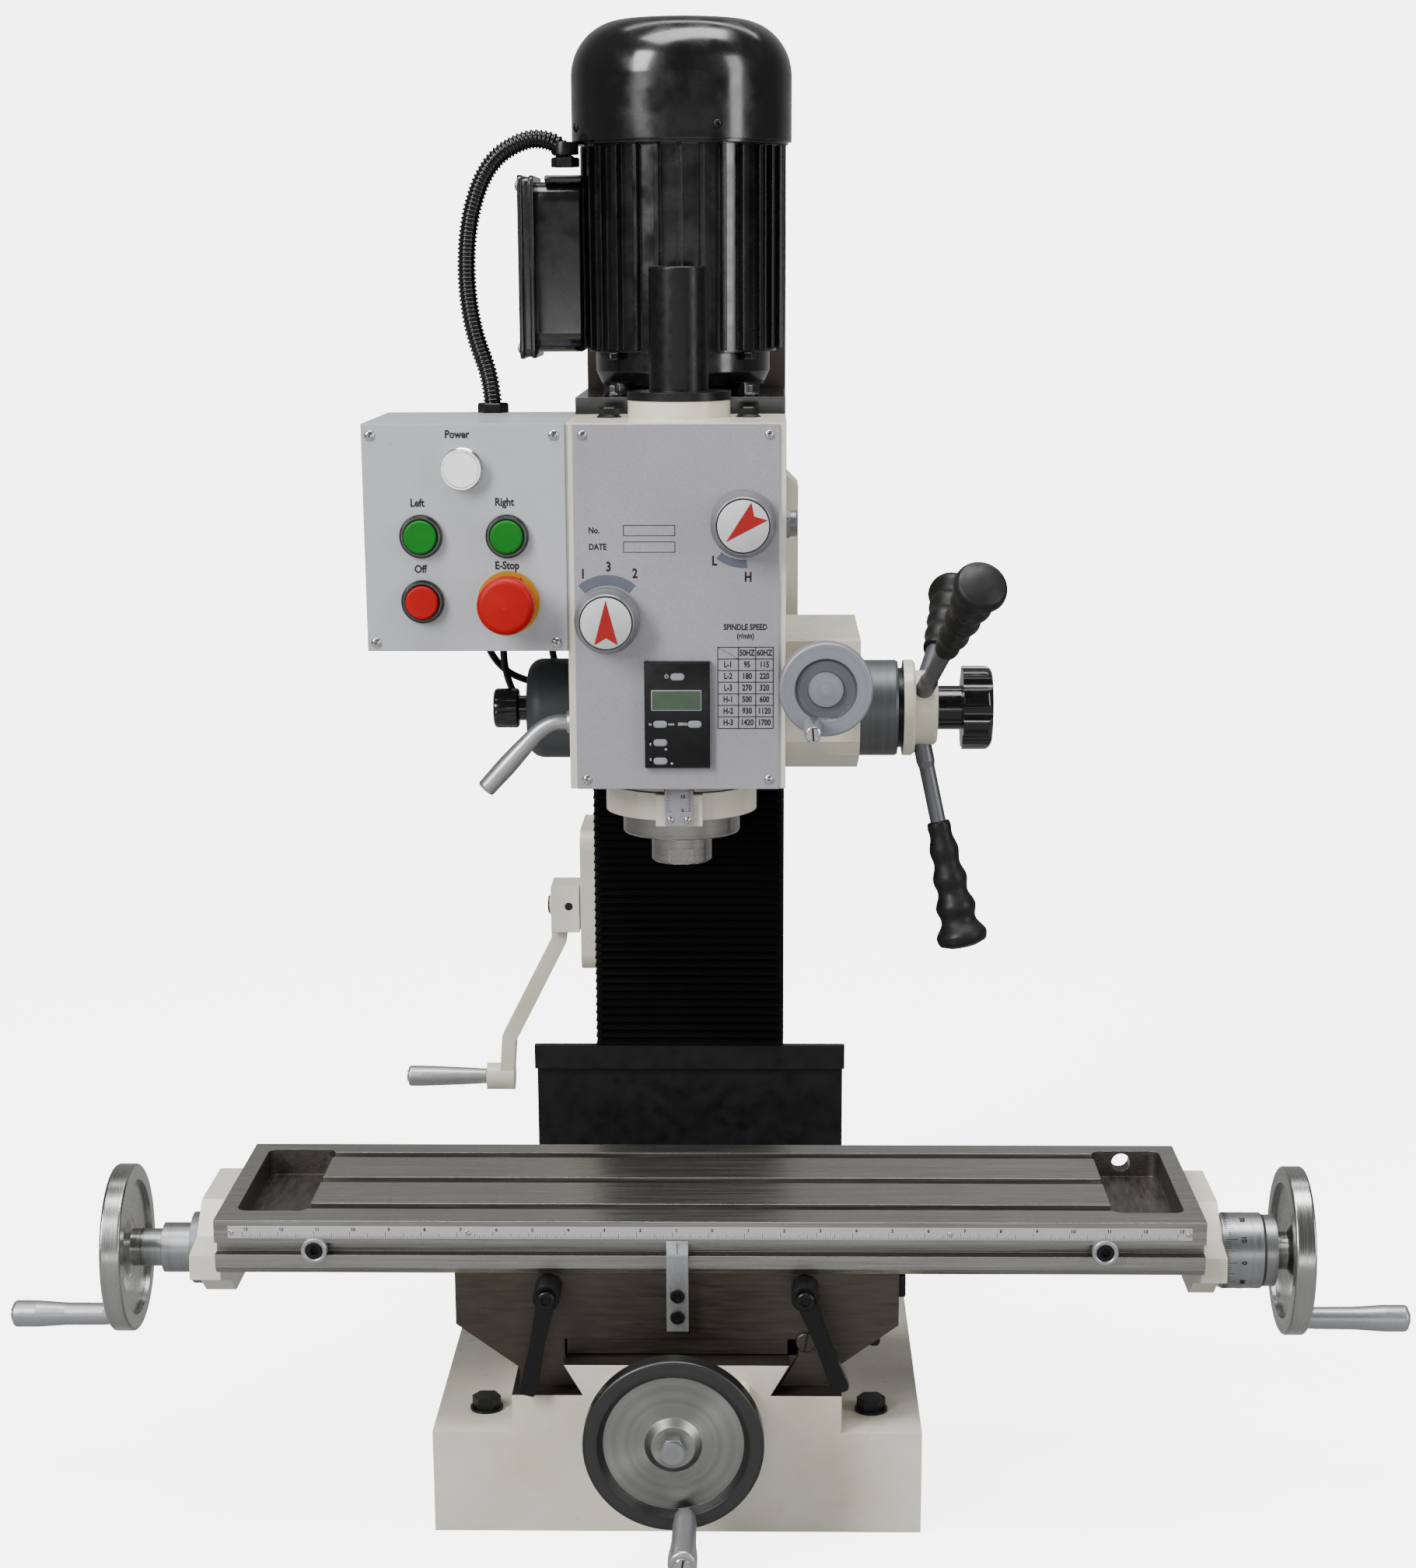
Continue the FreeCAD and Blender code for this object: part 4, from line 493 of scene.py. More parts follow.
def add_text(bm, text, height, at, across=X, up=Z, align="CENTER", depth=0.12, narrow=1.0):
    """Raised printed text; height is that of its capitals in millimetres."""
    curve = bpy.data.curves.new("words", "FONT")
    curve.body = text
    curve.size = height * 1.4
    curve.align_x = align
    curve.align_y = "CENTER"
    curve.extrude = depth / 2
    curve.offset = 0.05 * height
    curve.resolution_u = 3
    mesh = mesh_of(curve)
    across, up = Vector(across), Vector(up)
    matrix = Matrix((across, up, across.cross(up))).transposed().to_4x4()
    matrix = matrix @ Matrix.Diagonal((narrow, 1, 1, 1))
    matrix.translation = Vector(at)
    mesh.transform(matrix)
    bm.from_mesh(mesh)
    bpy.data.meshes.remove(mesh)


def add_cross_screw(bm, at, out, radius=3.6, height=2.2):
    """A domed cross-head screw with a four-sided recess."""
    profile = [(radius, 0), (radius * 0.98, height * 0.35), (radius * 0.8, height * 0.75),
               (radius * 0.5, height * 0.95), (radius * 0.28, height)]
    add_lathe(bm, profile, at, out, 28)
    pit = [(radius * 0.28, height), (radius * 0.2, height * 0.55), (0, height * 0.3)]
    add_lathe(bm, pit, at, out, 4)


def add_screw_slot(bm, at, out, length, width, turn=0.0):
    """A dark bar of painted shade that stands for the shaded recess of a driver slot across a
    screw's face.
    """
    spin = Matrix.Rotation(radians(turn), 3, Vector(out))
    along = spin @ Vector(out).orthogonal().normalized()
    across = Vector(out).cross(along)
    half, thin = length / 2, width / 2
    add_prism(bm, [(-half, -thin), (half, -thin), (half, thin), (-half, thin)], at, along,
              across, 0.12)


def add_socket_screw(bm, at, out, radius=4.0, height=3.5):
    """A socket head screw with a six-sided well."""
    profile = [(radius, 0), (radius, height - 0.5), (radius - 0.5, height),
               (radius * 0.55, height)]
    add_lathe(bm, profile, at, out, 32)
    well = [(radius * 0.55, height), (radius * 0.52, height - 0.2),
            (radius * 0.52, height * 0.3), (0, height * 0.25)]
    add_lathe(bm, well, at, out, 6)


def add_hex_head(bm, at, out, radius, height, flange=0.0):
    """A chamfered hexagon head, with a flange below it if wanted."""
    if flange:
        add_lathe(bm, [(0, 0), (flange, 0), (flange, 0.8), (radius * 0.95, 2.2),
                       (0, 2.2)], at, out, 40)
    base = 2.0 if flange else 0.0
    profile = [(0, base), (radius, base), (radius, base + height - 0.9),
               (radius * 0.88, base + height), (0, base + height)]
    add_lathe(bm, profile, at, out, 6)


def add_plate(bm, x, z, half_x, half_z, y, thick=0.15, corner=1.0):
    """A thin rounded plate lying on a front-facing surface."""
    add_prism(bm, rounded(half_x, half_z, corner, 4), (x, y, z), X, Z, thick)


def add_band(bm, x, z, inner, outer, start, end, y, thick=0.15, steps=24):
    """Part of a flat ring on a front-facing surface; angles in degrees from +X."""
    outline = arc((x, z), outer, start, end, steps)
    outline += reversed(arc((x, z), inner, start, end, steps))
    add_prism(bm, outline, (0, y, 0), X, Z, thick)


def smooth_line(route):
    """Points along the NURBS spline of a route given in millimetres."""
    curve = bpy.data.curves.new("route", "CURVE")
    curve.dimensions = "3D"
    curve.resolution_u = 24
    spline = curve.splines.new("NURBS")
    spline.points.add(len(route) - 1)
    for point, spot in zip(spline.points, route):
        point.co = (*(Vector(spot) * MM), 1)
    spline.order_u = 3
    spline.use_endpoint_u = True
    line = mesh_of(curve)
    path = [v.co / MM for v in line.vertices]
    bpy.data.meshes.remove(line)
    return path


def ring_of(bm, centre, first, second, radius, count):
    """A ring of points round a centre, in the plane of two directions."""
    return [bm.verts.new(centre + (first * cos(t) + second * sin(t)) * radius)
            for t in (2 * pi * k / count for k in range(count))]


def join_rings(bm, rings):
    """Close a skin over rings with as many points each, and cap both ends."""
    for lower, upper in zip(rings, rings[1:]):
        for k in range(len(lower)):
            n = (k + 1) % len(lower)
            bm.faces.new((lower[k], lower[n], upper[n], upper[k]))
    bm.faces.new(reversed(rings[0]))
    bm.faces.new(rings[-1])


def sweep(bm, path, radii, sides=40):
    """A round bar along a path of points, with a radius at each point."""
    rings, side = [], None
    for i, (spot, radius) in enumerate(zip(path, radii)):
        heading = (path[min(i + 1, len(path) - 1)] - path[max(i - 1, 0)]).normalized()
        side = heading.orthogonal() if side is None else side
        side = (side - heading * side.dot(heading)).normalized()
        rings.append(ring_of(bm, spot, side, heading.cross(side), radius, sides))
    join_rings(bm, rings)


# --------------------------------------------------------------------- pieces
def bellows():
    """A pleated cloth cover between the way flap and the head slide."""
    low, high = (Vector(v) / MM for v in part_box("bellows"))
    folds, rows, fold_depth, corner, gap = 46, 6, 5.2, 2.2, 0.2
    height, back = high.z - low.z, high.y - 0.3
    bm = bmesh.new()
    rings = []
    for i in range(folds * rows + 1):
        phase = i / rows
        tuck = fold_depth * (0.5 - 0.5 * cos(2 * pi * phase)) ** 0.8
        z = low.z + height * phase / folds
        side, front = high.x - gap - tuck, low.y + gap + tuck
        outline = [(-side, back), *arc((corner - side, front + corner), corner, 180, 270, 3),
                   *arc((side - corner, front + corner), corner, 270, 360, 3), (side, back)]
        rings.append([bm.verts.new((x, y, z)) for x, y in outline])
    join_rings(bm, rings)
    made = piece("bellows_cloth", bm, CLOTH, None, 50)
    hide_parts("bellows")
    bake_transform(made)


def conduit():
    """Corrugated plastic conduit from the terminal box to the control box."""
    route = [(-85, 84, 952), (-85, 84, 962), (-94, 84, 971), (-114, 83.5, 973),
             (-141, 82.5, 957), (-156, 80, 921), (-160, 77, 878), (-155, 71, 836),
             (-140, 61, 799), (-140, 61, 777)]
    path = smooth_line(route)
    distance = [0.0]
    for a, b in zip(path, path[1:]):
        distance.append(distance[-1] + (b - a).length)
    length, radius, half_groove = distance[-1], 7.2, 0.7
    spacing, rows, sides = 3.0, 8, 28
    steps = int(length / spacing) * rows
    bm = bmesh.new()
    rings, index, side = [], 0, X
    for i in range(steps + 1):
        along = length * i / steps
        while index < len(path) - 2 and distance[index + 1] < along:
            index += 1
        share = (along - distance[index]) / (distance[index + 1] - distance[index])
        spot = path[index].lerp(path[index + 1], share)
        heading = (path[index + 1] - path[index]).normalized()
        side = -side.cross(heading).cross(heading).normalized()
        wave = cos(2 * pi * i / rows)
        size = radius - 0.75 + half_groove * copysign(abs(wave) ** 0.5, wave)
        rings.append(ring_of(bm, spot, side, heading.cross(side), size, sides))
    join_rings(bm, rings)
    made = piece("corrugated_conduit", bm, GLOSS_BLACK, smooth=60)
    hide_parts("conduit")
    upper, lower = Vector(route[0]), Vector(route[-1])
    bm = bmesh.new()
    add_hex_head(bm, upper + Z * 0.2, Z, 10.5, 7)
    add_lathe(bm, [(8.6, 0), (10, 0), (10, 5), (9.2, 9), (8.6, 9)], upper + Z * 9, Z, 40,
              closed=True)
    add_lathe(bm, [(8.2, 0), (11.5, 0), (11.5, 6), (10.6, 7), (8.2, 7)], lower + Z * 0.1, Z,
              6, closed=True)
    piece("conduit_glands", bm, BLACK_PLASTIC)


def feed_grips():
    """Ribbed rubber grips with rounded ends on the three feed levers."""
    root, lean = Vector((175.4, 48, 558)), radians(12.2)
    for number, turn in enumerate((-52.5, 67.5, 187.5)):
        turn = radians(turn)
        flat = Vector((0, sin(turn), cos(turn)))
        heading = (flat * cos(lean) + X * sin(lean)).normalized()
        profile = [(0, 88), (7.4, 88), (8.4, 88.5), (8.7, 89.5)]
        steps, low, high = 60, 93, 176
        for i in range(steps + 1):
            part = i / steps
            ripple = (0.9 + 1.2 * part) * cos(2 * pi * (3.75 * part + 0.25))
            flare = 3.2 * max(0.0, (part - 0.8) / 0.2) ** 2
            profile.append((9.2 + 6.6 * part ** 1.15 + ripple * 0.85 + flare * 0.6,
                            low + (high - low) * part))
        rim = profile[-1][0]
        for i in range(1, 9):
            angle = pi / 2 * i / 8
            profile.append((rim - 3.4 + 3.4 * cos(angle), high + 7.5 * sin(angle)))
        profile += [(rim * 0.55, high + 9.6), (rim * 0.3, high + 10.2), (0, high + 10.4)]
        bm = bmesh.new()
        add_lathe(bm, profile, root, heading, 56)
        made = piece(f"feed_grip_{number + 1}", bm, RUBBER, "feed", 50)
        if number == 0:
            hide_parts("feed_grips")


def knobs():
    """Faces and pointers of the two selector knobs."""
    front = -106.0
    arrow = [(0, 16.2), (-8.3, -15.2), (0, -10.2), (8.3, -15.2)]
    for name, (x, z), turn in (("speed", SPEED_KNOB, 0), ("range", RANGE_KNOB, 132)):
        body = f"{name}_selector"
        bm = bmesh.new()
        add_lathe(bm, [(0, 0), (18.0, 0), (18.0, 0.25), (17.7, 0.45), (0, 0.45)],
                  (x, front, z), -Y, 64)
        piece(f"{name}_knob_face", bm, WHITE_FACE, body)
        bm = bmesh.new()
        add_lathe(bm, [(17.9, 0), (18.7, 0), (18.7, 0.3), (17.9, 0.3)], (x, front, z), -Y,
                  64, closed=True)
        piece(f"{name}_knob_line", bm, INK_AND_SHADE_BLACK, body)
        bm = bmesh.new()
        add_prism(bm, arrow, (x, front - 0.4, z), towards(turn, X, Z), towards(turn, Z, -X),
                  0.3)
        piece(f"{name}_knob_arrow", bm, RED_INK, body)


def plate_print():
    """Printing, screws and blank labels on the head's front plate."""
    y = PLATE_FRONT
    rows = (("L-1", "95", "115"), ("L-2", "180", "220"), ("L-3", "270", "320"),
            ("H-1", "500", "600"), ("H-2", "930", "1120"), ("H-3", "1420", "1700"))
    columns, top, bottom = (28.8, 43.4, 55.6, 68), 621.5, 563.7
    middle, half = (columns[0] + columns[-1]) / 2, (columns[-1] - columns[0]) / 2
    step = (top - bottom) / (len(rows) + 1)
    bm = bmesh.new()
    for i in range(len(rows) + 2):
        add_plate(bm, middle, top - i * step, half + 0.3, 0.3, y, corner=0.1)
    for x in columns:
        add_plate(bm, x, (top + bottom) / 2, 0.3, (top - bottom) / 2, y, corner=0.1)
    add_prism(bm, [(columns[0], top), (columns[0] + 0.5, top), (columns[1], top - step),
                   (columns[1] - 0.5, top - step)][::-1], (0, y, 0), X, Z, 0.15)
    for i, row in enumerate((("", "50HZ", "60HZ"), *rows)):
        for word, a, b in zip(row, columns, columns[1:]):
            if word:
                add_text(bm, word, 4.2, ((a + b) / 2, y, top - (i + 0.5) * step), narrow=0.78)
    add_text(bm, "SPINDLE SPEED", 4.1, (middle, y, 635.5), narrow=0.8)
    add_text(bm, "(r/min)", 3.9, (middle, y, 629.3), narrow=0.8)
    for word, z in (("No.", 703.3), ("DATE", 691.8)):
        add_text(bm, word, 4.2, (-61.5, y, z), align="LEFT", narrow=0.85)
    for word, x, z in (("1", -65.8, 673), ("3", -47.7, 677.9), ("2", -29.2, 673.2),
                       ("L", 26.6, 681.9), ("H", 50.3, 670.5)):
        add_text(bm, word, 6.6, (x, y, z), depth=0.16, narrow=0.8)
    for z in (703.3, 691.8):
        for shift in (-3.6, 3.6):
            add_plate(bm, -19, z + shift, 18, 0.25, y, corner=0.1)
        for shift in (-18, 18):
            add_plate(bm, -19 + shift, z, 0.25, 3.6, y, corner=0.1)
    piece("plate_print", bm, INK_AND_SHADE_BLACK)
    bm = bmesh.new()
    add_band(bm, *SPEED_KNOB, 24.2, 31.5, 50, 130, y)
    add_band(bm, *RANGE_KNOB, 25.2, 30.8, 232, 275, y)
    piece("plate_bands", bm, BLUE_INK)
    bm = bmesh.new()
    for x in (-65, 65):
        for z in (527, 769):
            add_cross_screw(bm, (x, y, z), -Y, 3.4, 1.8)
    piece("plate_screws", bm, CHROME)


def display():
    """Window, words and keys of the quill depth display."""
    y = -90.0
    bm = bmesh.new()
    add_block(bm, (-22.6, y - 0.5, 537), (22.6, y + 0.4, 611), 0.45)
    piece("display_front", bm, BLACK_PLASTIC)
    front = y - 0.5
    bm = bmesh.new()
    add_plate(bm, -0.6, 584.6, 17.9, 7.4, front, thick=0.25, corner=0.8)
    piece("display_frame", bm, KEY_GREY)
    bm = bmesh.new()
    add_plate(bm, -0.6, 584.6, 17.1, 6.6, front - 0.25, thick=0.2, corner=0.5)
    piece("display_window", bm, LCD)
    bm = bmesh.new()
    for x, z in ((0.3, 601.3), (-12.1, 567.6), (12.4, 567.6), (-12.1, 554.4), (-12.1, 541.2)):
        add_plate(bm, x, z, 5.0, 2.5, front, thick=0.7, corner=2.45)
        add_plate(bm, x, z, 4.5, 2.0, front - 0.7, thick=0.25, corner=1.95)
    piece("display_keys", bm, KEY_GREY)
    bm = bmesh.new()
    for word, x, z in (("in", -19.2, 567.6), ("mm", -4.2, 567.6), ("ZERO", 3.7, 567.6)):
        add_text(bm, word, 1.9, (x, front, z))
    for z, up in ((554.4, 1), (541.2, -1)):
        add_prism(bm, [(-1.2, 0), (0, 2.0 * up), (1.2, 0)][::up], (-19.2, front, z), -X, Z, 0.1)
        add_plate(bm, -19.2, z - 1.0 * up, 0.45, 1.0, front, thick=0.1, corner=0.1)
    add_band(bm, -7.4, 601.6, 1.0, 1.4, -240, 60, front, 0.1)
    add_plate(bm, -7.4, 602.6, 0.2, 0.9, front, thick=0.1, corner=0.1)
    for x, z in ((-8.2, 549.6), (-4.0, 539.4)):
        add_plate(bm, x, z, 0.8, 0.8, front, thick=0.1, corner=0.78)
    piece("display_words", bm, WHITE_INK)


def panel_print():
    """Words, lamp, rings and screws on the control panel."""
    y = PLATE_FRONT
    bm = bmesh.new()
    for word, x, z in (("Power", -152, 769.5), ("Left", -181, 722.5), ("Right", -120, 723),
                       ("Off", -180, 676.5), ("E-Stop", -119, 679)):
        add_text(bm, word, 5.4, (x, y, z), depth=0.16, narrow=0.85)
    piece("panel_words", bm, INK_AND_SHADE_BLACK)
    bm = bmesh.new()
    for x in (-213, -85):
        for z in (769, 625):
            add_cross_screw(bm, (x, y, z), -Y, 3.8, 2.0)
    piece("panel_screws", bm, CHROME)
    x, z = LAMP
    bm = bmesh.new()
    add_lathe(bm, [(11.2, 0), (14.8, 0), (14.8, 2.2), (13.9, 3.1), (13.4, 8.2), (12.4, 9.1),
                   (11.2, 8.8)], (x, y, z), -Y, 64, closed=True)
    piece("lamp_ring", bm, CHROME)
    bm = bmesh.new()
    add_lathe(bm, [(11.1, 4), (11.1, 7.4), (10.3, 8.2), (9.4, 8.2), (9.0, 7.6), (0, 8.6)],
              (x, y, z), -Y, 64)
    piece("lamp_lens", bm, LENS)
    for name, (x, z) in BOX_SPOTS.items():
        bm = bmesh.new()
        add_lathe(bm, [(12, 0), (15.2, 0), (15.4, 0.8), (14.9, 3.6), (13.9, 4.7),
                       (12.4, 4.7), (12, 4)], (x, y, z), -Y, 64, closed=True)
        piece(f"{name}_bezel", bm, GLOSS_BLACK)
    x, z = ESTOP
    bm = bmesh.new()
    ring_front = y - 3.0
    for start in (60, 180, 300):
        add_band(bm, x, z, 16.6, 18.6, start, start + 68, ring_front, 0.25)
        out, back = towards(start, X, Z), towards(start, -Z, X)
        spot = Vector((x, ring_front, z)) + out * 17.6
        add_prism(bm, [(-1.0, -2.2), (3.6, 0), (-1.0, 2.2)], spot, back, out, 0.25)
    piece("stop_ring_marks", bm, RED_INK)


def dial_marks():
    """Graduations and numbers round the screw dials."""
    radius, count = 28, 100
    for name, body, at, axis, low in (("x_dial", "table_screw", X_SCREW, X, 398),
                                      ("y_dial", "cross_screw", Y_SCREW, -Y, 224)):
        bm = bmesh.new()
        side = axis.cross(Z).normalized()
        for i in range(count):
            out = towards(360 * i / count, side, Z)
            along = axis.cross(out)
            length = 9 if i % 10 == 0 else 6.5 if i % 5 == 0 else 4.5
            spot = at + axis * low + out * (radius + 0.02)
            add_prism(bm, [(0, -0.16), (length, -0.16), (length, 0.16), (0, 0.16)], spot,
                      axis, along, 0.12)
            if i % 10 == 0:
                spot = at + axis * (low + 14) + out * (radius + 0.05)
                add_text(bm, str(i), 3.6, spot, along, -axis)
        piece(f"{name}_marks", bm, INK_AND_SHADE_BLACK, body)


def table_trim():
    """Rule and travel stops on the front of the table."""
    face, zero, inches, inch = -195.0, 22.9, 13, 25.4
    front, reach = face - 0.35, (inches + 0.4) * inch
    bm = bmesh.new()
    add_block(bm, (zero - reach, front, 218), (zero + reach, face + 0.2, 227), 0.12, 1)
    piece("rule_strip", bm, RULE, "table")
    bm = bmesh.new()
    for i in range(-inches * 16, inches * 16 + 1):
        length = 4.6 if i % 16 == 0 else 3.4 if i % 8 == 0 else 2.4 if i % 4 == 0 else 1.6
        add_plate(bm, zero + i * inch / 16, 218.4 + length / 2, 0.13, length / 2, front,
                  thick=0.08, corner=0.05)
    for i in range(-inches, inches + 1):
        add_text(bm, str(abs(i)), 2.4, (zero + i * inch + 2.6, front, 224.7), depth=0.1)
    piece("rule_marks", bm, INK_AND_SHADE_BLACK, "table")
    bm = bmesh.new()
    for shift in (-338, -170, 170, 338):
        add_lathe(bm, [(2.0, 0), (1.8, 0.6), (1.0, 1.0), (0, 1.1)],
                  (zero + shift, front, 222.5), -Y, 20)
    piece("rule_rivets", bm, CHROME, "table")
    collars, screws = bmesh.new(), bmesh.new()
    for x in (-256, 302):
        spot = (x, face + 1, 210.3)
        add_lathe(collars, [(6.2, 1), (6.2, 6.4), (7.0, 7.0), (8.6, 7.0), (9.25, 6.4),
                            (9.25, 1)], spot, -Y, 56, closed=True)
        add_socket_screw(screws, spot, -Y, 6.2, 6.2)
    piece("stop_collars", collars, SATIN_GRIP, "table")
    piece("stop_screws", screws, OXIDE_AND_SHADE_BLACK, "table")


def saddle_trim():
    """Index pointer, gib screw and small fittings of the saddle."""
    face, top = -195.6, 217.2
    bm = bmesh.new()
    add_block(bm, (-7, face - 0.2, 150), (8.6, -190.2, 189.6), 0.6)
    side = [(face, 150), (face, top), (face - 1.6, top), (face - 3.4, 207), (face - 3.4, 150)]
    add_prism(bm, side, (-7, 0, 0), Y, Z, 15.6, bevel=0.4)
    piece("index_pointer", bm, SATIN_GRIP, "saddle")
    bm = bmesh.new()
    add_prism(bm, [(-0.2, 208), (0.2, 208), (0.2, 216.5), (-0.2, 216.5)],
              (0.8, face - 2.6, 0), X, Z, 0.9)
    piece("pointer_mark", bm, INK_AND_SHADE_BLACK, "saddle")
    bm = bmesh.new()
    for z in (177, 161):
        add_socket_screw(bm, (0.8, face - 3.4, z), -Y, 5.2, 1.6)
    piece("pointer_screws", bm, OXIDE_AND_SHADE_BLACK, "saddle")
    bm = bmesh.new()
    add_lathe(bm, [(7.2, 0), (7.2, 1.6), (6.4, 2.4), (0, 2.4)], (92, -190, 139), -Y, 36)
    add_block(bm, (-79, -188.5, 129), (79, -183, 140.8), 0.3, 1)
    piece("gib_screw", bm, SHADE_DARK_IRON, "saddle")
    # The gib screw's slot is a dark bar of painted shade.
    bm = bmesh.new()
    add_screw_slot(bm, (92, -192.4, 139), -Y, 12.5, 1.5, 35)
    piece("gib_screw_slot", bm, INK_AND_SHADE_BLACK, "saddle")
    bm = bmesh.new()
    add_block(bm, (158, -158, 161), (164.4, -142, 178), 1.0)
    add_lathe(bm, [(4.8, 0), (4.8, 17), (3.8, 19), (0, 19)], (142, -150, 141), -Z, 32)
    piece("saddle_fittings", bm, BLACK_PLASTIC, "saddle")


def head_trim():
    """Top bolts and oil plug of the head casting."""
    bm = bmesh.new()
    for x in (50, -50):
        add_hex_head(bm, (x, -10, 776.8), Z, 7.5, 5.5, flange=9)
    piece("casting_bolts", bm, OXIDE_AND_SHADE_BLACK)
    plug = (77, 10, 699.5)
    bm = bmesh.new()
    add_lathe(bm, [(10.5, 0), (10.5, 3.2), (9.9, 3.6), (0, 3.6)], plug, X, 6)
    add_lathe(bm, [(9.4, 3.2), (9.4, 7.8), (8.6, 8.6), (4.0, 8.6), (3.8, 6.5), (0, 6.5)],
              plug, X, 44)
    piece("oil_plug", bm, GREY_STEEL)


def depth_scale():
    """Scale of the quill's travel on the plate in front of its collar."""
    front, low, high = -65.25, 489.5, 590
    bm = bmesh.new()
    add_block(bm, (-9.4, front, 511), (9.4, -64.9, high), 0.1, 1)
    add_block(bm, (-10.3, front - 0.6, low), (10.3, -60.9, 515), 0.3)
    piece("depth_plate", bm, PLATE, "quill")
    bm = bmesh.new()
    for i in range(76):
        z, face = 500 + i, front if i > 15 else front - 0.6
        length = 4.0 if i % 10 == 0 else 3.0 if i % 5 == 0 else 2.0
        add_plate(bm, 8.8 - length / 2, z, length / 2, 0.14, face, thick=0.08, corner=0.05)
        if i % 10 == 0:
            add_text(bm, str(i), 2.6, (2.8, face, z + 0.6), depth=0.1)
    for i in range(49):
        z = 500 + i * 25.4 / 16
        face, length = front if z > 515 else front - 0.6, 3.6 if i % 8 == 0 else 2.0
        add_plate(bm, -8.8 + length / 2, z, length / 2, 0.14, face, thick=0.08, corner=0.05)
    piece("depth_marks", bm, INK_AND_SHADE_BLACK, "quill")
    bm = bmesh.new()
    for x in (-6.2, 6.2):
        add_cross_screw(bm, (x, front - 0.6, 493.8), -Y, 2.6, 1.3)
    piece("depth_plate_screws", bm, CHROME, "quill")


def handle_trim():
    """Slotted screws in the handles' ends, and the crank hub's screws; the slots and the
    crank's set screw hole are painted shade.
    """
    for body, spot, out, radius, turn in (
            ("fine_feed", (95.5, -145, 569), -Y, 5.4, 50),
            ("cross_grip", (8, -362, 47.6), -Y, 5.6, 35),
            ("table_grip_left", (-499, -105, 126), -X, 5.6, 20),
            ("table_grip_right", (539, -105, 126), X, 5.6, 60),
            ("crank_grip", (-245, 262, 205), -X, 5.0, 15)):
        bm = bmesh.new()
        add_lathe(bm, [(0, -0.5), (radius, -0.5), (radius, 0.8), (radius - 0.7, 1.3),
                       (0, 1.3)], spot, out, 36)
        piece(f"{body}_screw", bm, CHROME, body)
        # The slot is a dark bar of painted shade.
        bm = bmesh.new()
        add_screw_slot(bm, Vector(spot) + out * 1.3, out, radius * 1.7, 1.3, turn)
        piece(f"{body}_slot", bm, INK_AND_SHADE_BLACK, body)
    # A flat black disc of painted shade stands for the hole of the crank's set screw.
    bm = bmesh.new()
    add_lathe(bm, [(0, 0), (3.4, 0), (3.4, 0.15), (0, 0.15)], (-103, 242, 359.5), -Y, 32)
    piece("crank_set_screw", bm, INK_AND_SHADE_BLACK, "crank")
    bm = bmesh.new()
    add_socket_screw(bm, (-118, 262, 357), -X, 7.5, 3.6)
    piece("crank_end_screw", bm, OXIDE_AND_SHADE_BLACK, "crank")


def motor_trim():
    """Bolts, lugs and screws of the motor, its fan cover and its terminal box."""
    plate_top, lug_foot, lug_top, bolt_circle = 789.2, 799, 815, 70
    bm = bmesh.new()
    for turn in (45, 135, 225, 315):
        out = towards(turn)
        spot = MOTOR + out * bolt_circle
        add_hex_head(bm, spot + Z * plate_top, Z, 6.5, 5.5, flange=8)
        add_prism(bm, [(-8, -10), (8, -10), (8, 6), (-8, 6)], MOTOR + out * 68 + Z * lug_foot,
                  Z.cross(out), out, lug_top - lug_foot, bevel=1.5)
        add_hex_head(bm, spot + Z * lug_top, Z, 5.5, 5)
    piece("motor_bolts", bm, BLACK)
    bm = bmesh.new()
    for turn in (20, 110, 200, 290):
        out = towards(turn)
        add_cross_screw(bm, MOTOR + out * 81.3 + Z * 980, out, 3.4, 2.0)
    piece("fan_cover_screws", bm, OXIDE_AND_SHADE_BLACK)
    bm = bmesh.new()
    for z in (823, 939):
        for y in (74, 142):
            add_cross_screw(bm, (-120, y, z), -X, 3.6, 1.8)
    piece("terminal_box_screws", bm, CHROME)


def quill_lock():
    """The bent steel lever that clamps the quill."""
    start, bend, tip = (Vector((x, -50, z)) for x, z in ((-77.2, 563), (-96, 563),
                                                         (-141, 514)))
    arm = (tip - bend).normalized()
    before, after = bend + X * 12, bend + arm * 16
    path = [start.lerp(before, i / 8) for i in range(9)]
    radii = [5.6] * len(path)
    for share in (i / 12 for i in range(1, 13)):
        path.append(before * (1 - share) ** 2 + bend * 2 * share * (1 - share)
                    + after * share ** 2)
        radii.append(5.6 + 0.4 * share)
    for share in (i / 24 for i in range(1, 25)):
        path.append(after.lerp(tip, share))
        radii.append(6.0 + 1.3 * sin(min(share * 1.6, 1.0) * pi / 2)
                     - 0.45 * max(0.0, share - 0.6) / 0.4)
    path.append(path[-1] + arm * 0.7)
    radii.append(radii[-1] - 0.8)
    bm = bmesh.new()
    sweep(bm, path, radii)
    add_lathe(bm, [(5.4, -0.5), (8.2, -0.5), (8.2, 3), (7.4, 4), (5.4, 4)], start, -X, 40,
              closed=True)
    made = piece("quill_lock_bar", bm, SATIN_GRIP, "quill_lock", 50)
    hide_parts("quill_lock_lever")


